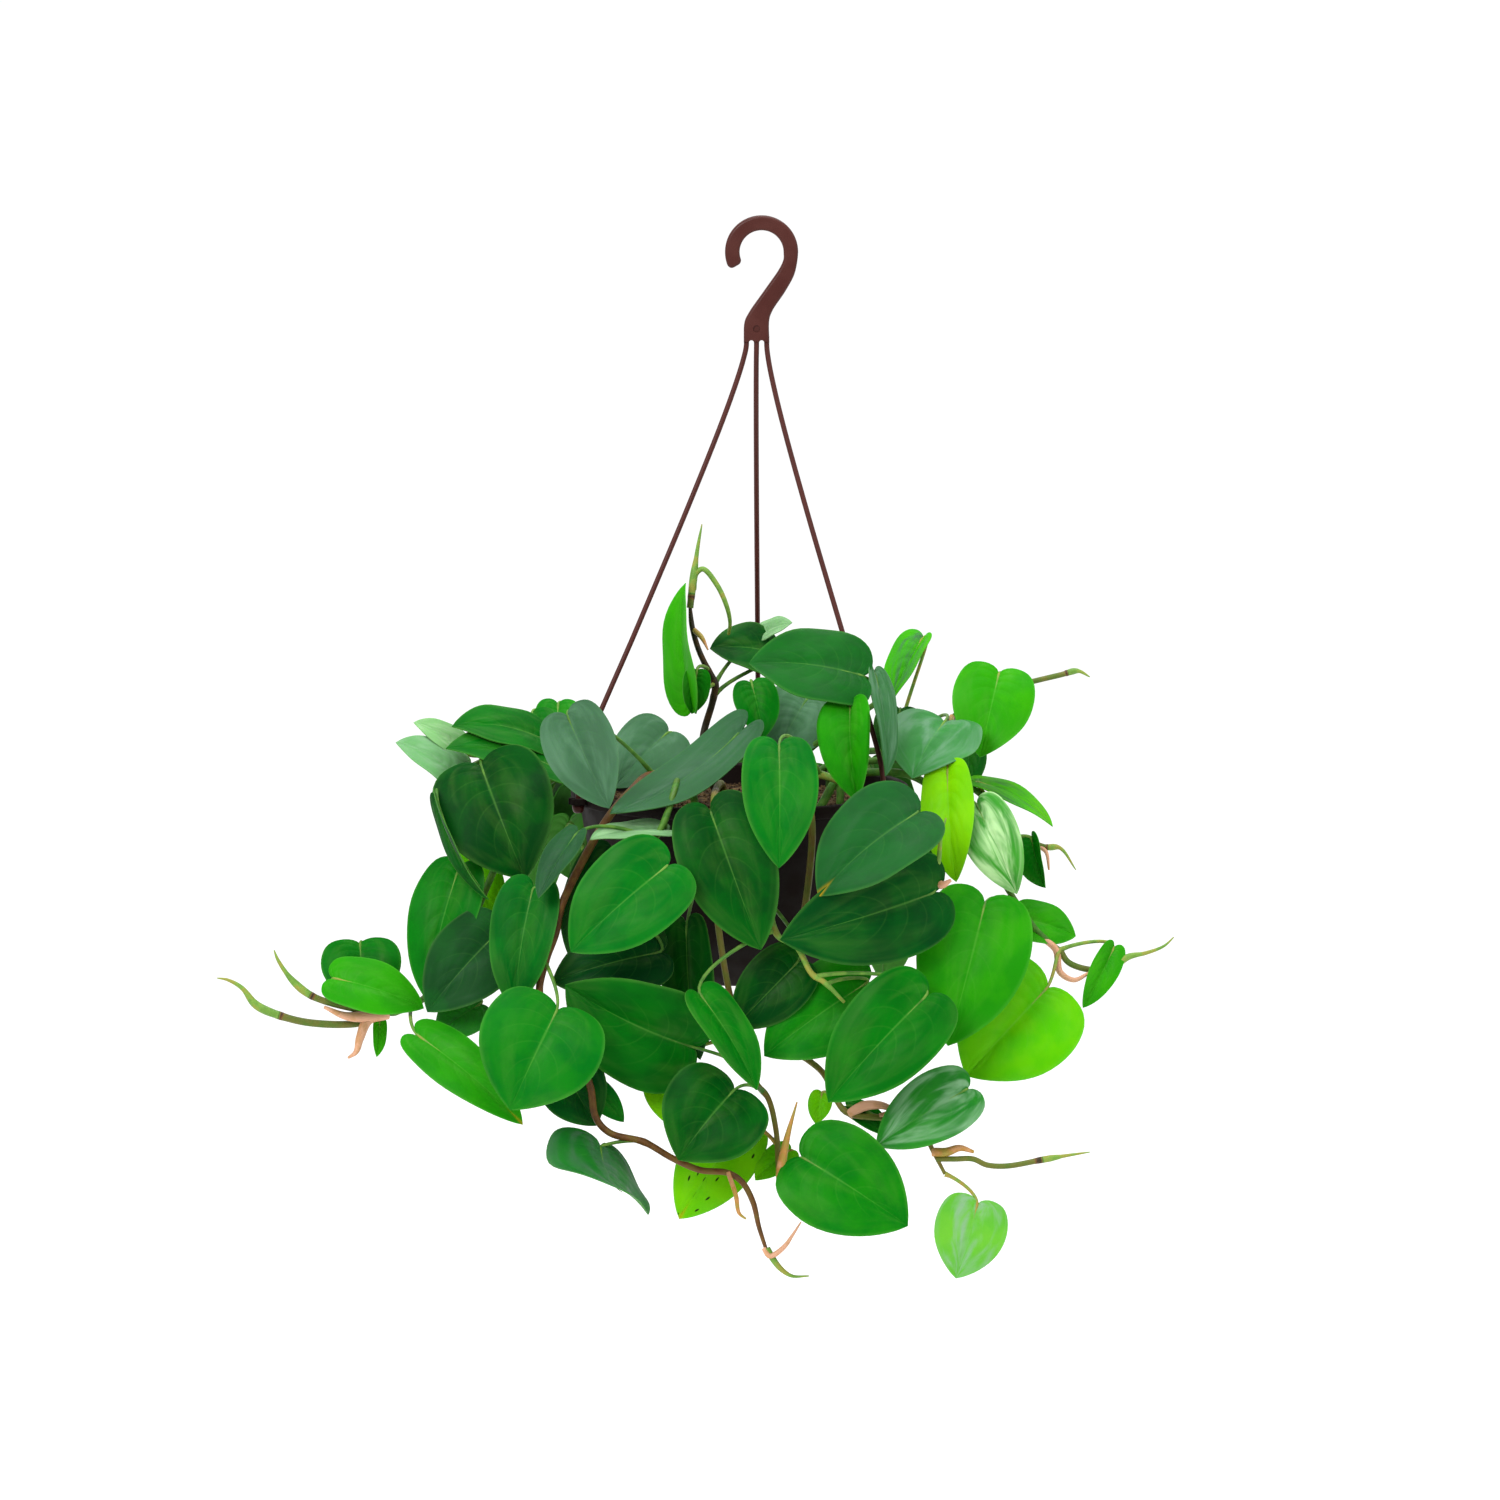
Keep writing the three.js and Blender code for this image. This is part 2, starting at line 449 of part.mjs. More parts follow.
function potSolid() {
  const outer = wallProfile(0, -POT_HEIGHT, -RIM_DEPTH, 5);
  const inner = wallProfile(POT_WALL, -POT_HEIGHT + POT_FLOOR, 0, 5).reverse();
  const bowl = turnedSolid([
    new THREE.Vector2(0, -POT_HEIGHT),
    ...outer,
    new THREE.Vector2(RIM_RADIUS, -RIM_DEPTH),
    new THREE.Vector2(RIM_RADIUS, -1),
    new THREE.Vector2(RIM_RADIUS - 1, 0),
    ...inner,
    new THREE.Vector2(0, -POT_HEIGHT + POT_FLOOR),
  ]);
  const lugBottom = -LUG_BELOW_RIM - LUG_HEIGHT;
  const inside = turnedSolid([
    new THREE.Vector2(0, -RIM_DEPTH - 1),
    new THREE.Vector2(bowlRadius(-RIM_DEPTH - 1) - POT_WALL, -RIM_DEPTH - 1),
    new THREE.Vector2(bowlRadius(0) - POT_WALL, 0),
    new THREE.Vector2(bowlRadius(0) - POT_WALL, 1),
    new THREE.Vector2(0, 1),
  ]);
  const lugs = LUG_ANGLES.map((angle) => {
    const [x, y] = onCircle(LUG_CIRCLE, angle);
    return upright(LUG_RADIUS, LUG_HEIGHT, 12, x, y, lugBottom);
  });
  const slots = LUG_ANGLES.flatMap((angle) => {
    const [x, y] = onCircle(LUG_CIRCLE, angle);
    const mouth = new THREE.BoxGeometry(2 * LUG_RADIUS, LUG_SLOT, 2 * LUG_HEIGHT);
    mouth.translate(LUG_RADIUS, 0, 0);
    mouth.rotateZ(THREE.MathUtils.degToRad(angle));
    mouth.translate(x, y, lugBottom + LUG_HEIGHT / 2);
    const boreBottom = lugBottom - LUG_HEIGHT / 2;
    return [upright(STRAND_RADIUS + FIT_GAP, 2 * LUG_HEIGHT, BORE_SIDES, x, y, boreBottom), solidOf(mouth)];
  });
  const drains = Array.from({ length: DRAIN_COUNT }, (_, i) => {
    const [x, y] = onCircle(DRAIN_CIRCLE, (360 * i) / DRAIN_COUNT);
    return upright(DRAIN_RADIUS, 2 * POT_FLOOR, BORE_SIDES, x, y, -POT_HEIGHT - POT_FLOOR / 2);
  });
  return unionOf([bowl, ...lugs.map((lug) => lug.subtract(inside))]).subtract(unionOf([...slots, ...drains]));
}

function soilHeight(radius) {
  const edge = bowlRadius(-SOIL_BELOW_RIM);
  return -SOIL_BELOW_RIM + SOIL_CROWN * (1 - (radius / edge) ** 2);
}

function soilSolid() {
  const wall = wallProfile(POT_WALL + FIT_GAP, -POT_HEIGHT + POT_FLOOR + FIT_GAP, -SOIL_BELOW_RIM, 4);
  const edge = wall[wall.length - 1].x;
  const body = turnedSolid([
    new THREE.Vector2(0, wall[0].y),
    ...wall,
    new THREE.Vector2(edge / 2, soilHeight(edge / 2)),
    new THREE.Vector2(0, soilHeight(0)),
  ]);
  const holes = VINES.map(({ root, radius }) => {
    const bottom = soilHeight(Math.hypot(...root)) - ROOT_DEPTH - FIT_GAP;
    return upright(radius + 2 * FIT_GAP, ROOT_DEPTH + 10, BORE_SIDES, ...root, bottom);
  });
  return body.subtract(unionOf(holes));
}

// Hanger, round the hook's seat
function hookSolid() {
  const outer = HOOK_INNER + HOOK_BAND;
  const end = THREE.MathUtils.degToRad(HOOK_END);
  const left = SHANK_MIDDLE_X - SHANK_WIDTH / 2;
  const right = SHANK_MIDDLE_X + SHANK_WIDTH / 2;
  const shape = new THREE.Shape();
  shape.moveTo(outer, -HOOK_INNER);
  shape.absarc(0, -HOOK_INNER, outer, 0, end, false);
  shape.absarc(0, -HOOK_INNER, HOOK_INNER, end, 0, true);
  shape.lineTo(HOOK_INNER, -14.5);
  shape.lineTo(9, -19);
  shape.lineTo(1.8, -29.5);
  shape.lineTo(left + 2.4, -41.5);
  shape.lineTo(left + 0.4, -46);
  shape.lineTo(left, -SHANK_END);
  shape.lineTo(right, -SHANK_END);
  shape.lineTo(right, -44.5);
  shape.lineTo(right + 1.6, -40);
  shape.lineTo(11.8, -30.5);
  shape.lineTo(16.3, -22);
  shape.lineTo(outer - 0.3, -14.5);
  const geometry = new THREE.ExtrudeGeometry(shape, {
    depth: HOOK_THICKNESS - 2 * HOOK_BEVEL,
    bevelEnabled: true,
    bevelThickness: HOOK_BEVEL,
    bevelSize: HOOK_BEVEL,
    bevelOffset: -HOOK_BEVEL,
    bevelSegments: 1,
    curveSegments: 9,
  });
  geometry.translate(0, 0, HOOK_BEVEL - HOOK_THICKNESS / 2);
  geometry.rotateX(Math.PI / 2);
  return solidOf(geometry);
}

// Each strand leaves the shank straight down, bends out to its lug and ends in a bead under it.
function strandSolids() {
  const lefts = [...LUG_ANGLES].sort((a, b) => onCircle(1, a)[0] - onCircle(1, b)[0]);
  return lefts.flatMap((angle, i) => {
    const [lugX, lugY] = onCircle(LUG_CIRCLE, angle);
    const x = SHANK_MIDDLE_X + (i - 1) * STRAND_PITCH;
    const lug = new THREE.Vector3(POT_AXIS_X + lugX, lugY, -RIM_DROP);
    const lugBottom = -LUG_BELOW_RIM - LUG_HEIGHT;
    const leaving = new THREE.Vector3(x, 0, -SHANK_END - 2);
    const arriving = lug.clone().add(new THREE.Vector3(0, 0, 14));
    const inward = new THREE.Vector3(-lugX, -lugY, 0).setLength(STRAND_BOW);
    const bowed = (share, bow) => leaving.clone().lerp(arriving, share).addScaledVector(inward, bow);
    const points = [
      new THREE.Vector3(x, 0, -SHANK_END + 3),
      leaving,
      bowed(0.035, 0.42),
      bowed(0.09, 0.75),
      bowed(0.19, 1),
      bowed(0.4, 0.95),
      bowed(0.67, 0.5),
      bowed(0.97, 0),
      lug.clone().add(new THREE.Vector3(0, 0, 8)),
      lug.clone().add(new THREE.Vector3(0, 0, 3)),
      lug.clone().add(new THREE.Vector3(0, 0, lugBottom - FIT_GAP - BEAD_HEIGHT / 2)),
    ];
    const bead = new THREE.CylinderGeometry(BEAD_RADIUS, 0.7 * BEAD_RADIUS, BEAD_HEIGHT, STRAND_SIDES);
    bead.rotateX(Math.PI / 2);
    bead.translate(lug.x, lug.y, lug.z + lugBottom - FIT_GAP - BEAD_HEIGHT / 2);
    return [tube(points, points.map(() => STRAND_RADIUS), STRAND_SIDES), solidOf(bead)];
  });
}

// Leaves
function bladeFrame({ base, tip, facing }) {
  const axis = tip.clone().sub(base);
  const length = axis.length();
  const along = axis.clone().normalize();
  const normal = facing.clone().addScaledVector(along, -facing.dot(along)).normalize();
  return { axis, length, along, normal, across: normal.clone().cross(along) };
}

// A point of the blade's upper face: u runs from the notch to the tip, v across from -0.5 to 0.5.
function bladePoint(one, frame, u, v) {
  const wave = BLADE_WAVE * 4 * v * v * Math.sin(8 * u + 2 * Math.sign(v) + one.base.x / 5);
  const rise = frame.length * one.arch * 4 * u * (1 - u);
  const lift = one.width * (one.fold * Math.abs(v) - BLADE_DROOP * v * v + wave);
  return one.base.clone()
    .addScaledVector(frame.axis, u)
    .addScaledVector(frame.across, v * one.width)
    .addScaledVector(frame.normal, rise + lift);
}

function bladeSolid(one) {
  const frame = bladeFrame(one);
  const flat = [
    ...MIDRIB.map((u) => [u, 0]),
    ...HALF_OUTLINE.map(([u, v]) => [u, v]),
    ...HALF_OUTLINE.map(([u, v]) => [u, -v]),
  ];
  const upper = flat.map(([u, v]) => bladePoint(one, frame, u, v));
  const lower = upper.map((point) => point.clone().addScaledVector(frame.normal, -BLADE_THICKNESS));
  const count = flat.length;
  const triangles = [];
  const face = (a, b, c) => triangles.push(a, b, c, a + count, c + count, b + count);
  [MIDRIB.length, MIDRIB.length + HALF_OUTLINE.length].forEach((first, half) => {
    const ladder = [
      [0, first, first + 1],
      [0, first + 1, first + 2],
      [0, first + 2, 1],
      [1, first + 2, first + 3],
      [1, first + 3, 2],
      [2, first + 3, first + 4],
      [2, first + 4, first + 5],
      [2, first + 5, 3],
    ];
    ladder.forEach(([a, b, c]) => (half === 0 ? face(a, c, b) : face(a, b, c)));
    const edge = [0, ...HALF_OUTLINE.map((_, i) => first + i), MIDRIB.length - 1];
    for (let i = 0; i + 1 < edge.length; i += 1) {
      const [a, b] = half === 0 ? [edge[i + 1], edge[i]] : [edge[i], edge[i + 1]];
      triangles.push(a, b + count, b, a, a + count, b + count);
    }
  });
  return solidFrom([...upper, ...lower], triangles);
}

// A petiole rises from its node, arches over and runs into the blade's midrib at the notch.
function petioleSolid(one, start) {
  const frame = bladeFrame(one);
  const end = bladePoint(one, frame, 0.03, 0).addScaledVector(frame.normal, -BLADE_THICKNESS / 2);
  const reach = end.distanceTo(start);
  const curve = new THREE.CubicBezierCurve3(
    start,
    start.clone().lerp(end, 0.3).add(new THREE.Vector3(0, 0, 0.15 * reach)),
    end.clone().addScaledVector(frame.along, -0.3 * reach).addScaledVector(frame.normal, -0.1 * reach),
    end,
  );
  const points = curve.getPoints(PETIOLE_STEPS);
  const radii = points.map((_, i) => (i === PETIOLE_STEPS ? PETIOLE_END_RADIUS : PETIOLE_RADIUS));
  return tube(points, radii, PETIOLE_SIDES);
}

// Stems
function stemSolid({ root, radius, route }, curve) {
  const surface = soilHeight(Math.hypot(...root)) - RIM_DROP;
  const foot = new THREE.Vector3(POT_AXIS_X + root[0], root[1], surface - ROOT_DEPTH);
  const neck = new THREE.Vector3(foot.x, foot.y, surface + 1);
  const points = [foot, neck, ...curve.getPoints(stemSteps(route)).slice(1)];
  const radii = points.map((_, i) => radius * (1 - (0.35 * i) / points.length));
  return tube(points, radii, STEM_SIDES);
}

function stemSteps(route) {
  return Math.round(1.1 * route.length) + 1;
}

function stemCurve({ root, route }) {
  const surface = soilHeight(Math.hypot(...root)) - RIM_DROP;
  const neck = new THREE.Vector3(POT_AXIS_X + root[0], root[1], surface + 1);
  return new THREE.CatmullRomCurve3([neck, ...route]);
}

function shootSolid({ startRadius, endRadius, route }) {
  const points = new THREE.CatmullRomCurve3(route).getPoints(route.length);
  const radii = points.map((_, i) => THREE.MathUtils.lerp(startRadius, endRadius, i / (points.length - 1)));
  return tube(points, radii, PETIOLE_SIDES);
}

function vineSolid(one) {
  const curve = stemCurve(one);
  const steps = stemSteps(one.route);
  const nodeOf = (each) => curve.getPoint(Math.round(each.node * steps) / steps);
  return unionOf([
    stemSolid(one, curve),
    ...one.leaves.flatMap((each) => [petioleSolid(each, nodeOf(each)), bladeSolid(each)]),
    ...one.shoots.map(shootSolid),
  ]);
}

// Finishes
const brownPlastic = new THREE.MeshStandardMaterial({ color: 0x5c2d26, roughness: 0.45, metalness: 0 });
const potPlastic = new THREE.MeshStandardMaterial({ color: 0x3a1a15, roughness: 0.5, metalness: 0 });
const pottingMix = new THREE.MeshStandardMaterial({ color: 0x4a3a24, roughness: 0.95, metalness: 0 });
const oldLeaf = new THREE.Color(0x0b5a1c);
const youngLeaf = new THREE.Color(0x8fd400);

function leafMaterial(leaves) {
  const youth = leaves.reduce((sum, each) => sum + each.youth, 0) / leaves.length;
  const color = oldLeaf.clone().lerp(youngLeaf, youth);
  return new THREE.MeshStandardMaterial({ color, roughness: 0.35, metalness: 0 });
}

// Assembly
const plant = new THREE.Group();

function addPiece(name, solid, material, x, z) {
  const mesh = new THREE.Mesh(geometryOf(solid), material);
  mesh.name = name;
  mesh.position.set(x, 0, z);
  plant.add(mesh);
}

addPiece("hanger", unionOf([hookSolid(), ...strandSolids()]), brownPlastic, 0, 0);
addPiece("pot", potSolid(), potPlastic, POT_AXIS_X, -RIM_DROP);
addPiece("soil", soilSolid(), pottingMix, POT_AXIS_X, -RIM_DROP);
VINES.forEach((one) => addPiece(one.name, vineSolid(one), leafMaterial(one.leaves), 0, 0));

export default plant;
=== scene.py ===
"""A heartleaf philodendron in a hanging pot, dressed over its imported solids.

Sizes are in millimetres until a mesh is made, and the origin is the seat of the hook.
"""

import logging
import math
from dataclasses import astuple, dataclass, field, fields
from enum import Enum
from typing import Any

import bmesh
import bpy
import numpy as np
from mathutils import Matrix


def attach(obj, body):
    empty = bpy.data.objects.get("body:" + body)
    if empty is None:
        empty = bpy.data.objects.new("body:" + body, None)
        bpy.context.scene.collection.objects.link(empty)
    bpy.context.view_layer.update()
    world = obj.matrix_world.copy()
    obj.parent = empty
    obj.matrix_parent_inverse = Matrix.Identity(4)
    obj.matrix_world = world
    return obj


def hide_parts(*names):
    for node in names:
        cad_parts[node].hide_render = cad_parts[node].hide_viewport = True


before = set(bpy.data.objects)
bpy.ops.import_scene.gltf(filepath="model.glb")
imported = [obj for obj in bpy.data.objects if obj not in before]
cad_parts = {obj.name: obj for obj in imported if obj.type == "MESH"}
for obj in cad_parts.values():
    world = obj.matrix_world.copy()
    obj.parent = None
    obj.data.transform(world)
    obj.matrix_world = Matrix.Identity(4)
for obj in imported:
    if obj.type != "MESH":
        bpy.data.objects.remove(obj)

log = logging.getLogger("philodendron")

MM = 0.001
BODY = "root"

# Where the pot hangs, and how the view looks down on it
POT_AXIS_X = -10.75
RIM_DROP = 279.0
VIEW_TILT = math.radians(8)
VIEW_DISTANCE = 6000.0
VIEW_MIDDLE = (5.0, 18.0)

# Pot and soil sizes that more than one piece needs
RIM_RADIUS = 84.5
RIM_LIP = 3.5
POT_HEIGHT = 94.0
BASE_RADIUS = 47.0
BOWL_BELLY = (74.0, -62.0)
POT_WALL = 1.8
POT_FLOOR = 2.4
SOIL_BELOW_RIM = 10.0
SOIL_CROWN = 3.0
FIT_GAP = 0.3
LUG_ANGLES = (84.0, 204.0, 324.0)
LUG_CIRCLE = 88.0
STRAND_RADIUS = 1.3
ROOT_DEPTH = 26.0

# How a strand bows inwards on its way down: the share of the way and the share of the full bow
STRAND_BOW = ((0.035, 0.42), (0.09, 0.75), (0.19, 1.0), (0.4, 0.95), (0.67, 0.5), (0.97, 0.0))

# A bead's section: shares of its radius, and of its height from the top down
BEAD_SECTION = ((0, 1), (0.6, 1), (0.8, 0.85), (1, 0.3), (0.97, 0.1), (0.85, 0), (0, 0))

# How crumbs of the mix vary: a full turn about each axis, and the least and most scale
CRUMB_TURN = (6.3, 6.3, 6.3)
CRUMB_SCALES = ((0.35, 0.5, 0.3), (1.5, 1.1, 0.9))

# Edges sharper than these angles in degrees stay sharp
POT_SMOOTHING = 32
LUG_SMOOTHING = 40
HANGER_SMOOTHING = 50
SOIL_SMOOTHING = 60
LEAF_SMOOTHING = 70

# How the stems behind the pot hang, and the radius and height of their points over the rim
FALL_RADIUS = 104.0
FALL_LEAN = 15.0
FALL_LENGTH = 50.0
FALL_STEP = 17.0
FALL_WIDTH = 46
FALL_OVER_RIM = ((64, 4), (80, 8), (91, 3))

Point = tuple[float, float, float]
Reach = tuple[float, float, float]
Colour = tuple[int, int, int]
Piece = bpy.types.Object
Socket = bpy.types.NodeSocket
Material = bpy.types.Material
Tree = bpy.types.NodeTree


class Slot(Enum):
    """The record's material slots."""

    HANGER = "hanger_plastic"
    POT = "pot_plastic"
    MIX = "potting_mix"
    DARK = "dark_foliage"
    MID = "mid_foliage"
    YOUNG = "young_foliage"


class Tone(Enum):
    """Where a stem's colour lies between bark brown and a dry tan sheath."""

    BARK = 0.0
    GOLDEN = 0.15
    OLIVE = 0.3
    GREEN = 0.55
    PALE = 0.72
    TAN = 0.88
    DRY = 1.0


def on_circle(radius: float, degrees: float) -> tuple[float, float]:
    """Gives the x and y of a point on a circle round the pot's axis."""
    a = math.radians(degrees)
    return radius * math.cos(a), radius * math.sin(a)


def turned(point: Any) -> np.ndarray:
    """Turns a direction read square to the view into the object's frame.

    Args:
        point: right, depth away from the viewer, and up.

    Returns:
        The same direction as x, y and z.
    """
    right, depth, up = point
    c, s = math.cos(VIEW_TILT), math.sin(VIEW_TILT)
    return np.array([right, depth * c + up * s, up * c - depth * s])


def placed(point: Any) -> np.ndarray:
    """Gives the place of a point read in the view.

    Args:
        point: right, depth and up from the middle of the rim; right and up as seen at the rim's distance.

    Returns:
        The point as x, y and z, with nearer points drawn in a little.
    """
    right, depth, up = point
    middle_right, middle_up = VIEW_MIDDLE
    share = 1 + depth / VIEW_DISTANCE
    row = [middle_right + (right - middle_right) * share, depth, middle_up + (up - middle_up) * share]
    return turned(row) + np.array([POT_AXIS_X, 0.0, -RIM_DROP])


def facing_of(angles: Any) -> np.ndarray:
    """Gives the way a blade looks from its turn to the right and tilt upwards in degrees."""
    a, b = (math.radians(angle) for angle in angles)
    return turned([math.sin(a) * math.cos(b), -math.cos(a) * math.cos(b), math.sin(b)])


def unit(vector: np.ndarray) -> np.ndarray:
    """Gives a vector of length one."""
    return vector / np.linalg.norm(vector)


def linear(red: int, green: int, blue: int) -> tuple[float, float, float, float]:
    """Turns a display colour of 0 to 255 into a linear one with full alpha.

    Args:
        red: its red.
        green: its green.
        blue: its blue.

    Returns:
        The linear red, green and blue, and an alpha of 1.
    """
    parts = [value / 255 for value in (red, green, blue)]
    out = [p / 12.92 if p <= 0.04045 else ((p + 0.055) / 1.055) ** 2.4 for p in parts]
    return out[0], out[1], out[2], 1.0


@dataclass(frozen=True)
class Leaf:
    """One leaf: where it leaves the stem, its notch, tip, width, facing, form and youth."""

    node: float
    base: np.ndarray
    tip: np.ndarray
    width: float
    facing: np.ndarray
    fold: float
    arch: float
    youth: float


@dataclass(frozen=True)
class Look:
    """A leaf's marks from 0 to 1: its painted sheen, a pale reflection painted into its colour, how far that
    lies in streaks, dark dots and a yellow tip.
    """

    painted_sheen: float = 0.0
    patchy: float = 0.0
    dots: float = 0.0
    turning: float = 0.0


@dataclass(frozen=True)
class Shoot:
    """One tapering new leaf, sheath or aerial root."""

    start_radius: float
    end_radius: float
    route: np.ndarray


@dataclass(frozen=True)
class Vine:
    """One leafy stem with its leaves and shoots."""

    name: str
    root: tuple[float, float]
    radius: float
    route: np.ndarray
    leaves: tuple[Leaf, ...]
    shoots: tuple[Shoot, ...]


def leaf(
    node: float, base: Any, tip: Any, width: float, facing: Any, fold: float, arch: float, youth: float
) -> Leaf:
    """Makes a leaf from points read in the view."""
    return Leaf(node, placed(base), placed(tip), width, facing_of(facing), fold, arch, youth)


def shoot(start_radius: float, end_radius: float, route: Any) -> Shoot:
    """Makes a shoot from points read in the view."""
    return Shoot(start_radius, end_radius, np.array([placed(p) for p in route]))


def vine(name: str, root: Any, radius: float, route: Any, leaves: Any, shoots: Any) -> Vine:
    """Makes a leafy stem from points read in the view."""
    points = np.array([placed(p) for p in route])
    return Vine(name, tuple(root), radius, points, tuple(leaves), tuple(shoots))


def falling_vine(name: str, root: Any, azimuth: float, top: float, count: int) -> Vine:
    """Makes a stem that falls over the far side of the rim, its leaves like shingles.

    Args:
        name: the node it stands for.
        root: its x and y in the soil.
        azimuth: where it crosses the rim, in degrees.
        top: the height of its first leaf above the rim.
        count: how many leaves it has.

    Returns:
        The stem, its leaves facing outwards to the left and right by turns.
    """

    def at(radius: float, turn: float, height: float) -> np.ndarray:
        """Gives a point by its radius, its turn from the stem's azimuth and its height above the rim."""
        x, y = on_circle(radius, azimuth + turn)
        return np.array([POT_AXIS_X + x, y, height - RIM_DROP])

    end = top - FALL_STEP * count
    leaves = []
    for i in range(count):
        side = 1 if i % 2 == 0 else -1
        height = top - FALL_STEP * i
        facing = unit(np.array([*on_circle(1, azimuth + 5 * side), 0.3]))
        base = at(FALL_RADIUS, 4 * side, height)
        tip = at(FALL_RADIUS + FALL_LEAN, 6 * side, height - FALL_LENGTH)
        node = 0.6 + (0.38 * i) / (count - 1)
        leaves.append(Leaf(node, base, tip, FALL_WIDTH - 2 * i, facing, 0.3, 0.07, 0.1 + 0.15 * (i % 3)))
    route = [at(radius, 0, height) for radius, height in FALL_OVER_RIM]
    route += [at(97, 0, (top + end) / 2), at(98, 0, end)]
    return Vine(name, tuple(root), 2, np.array(route), tuple(leaves), ())


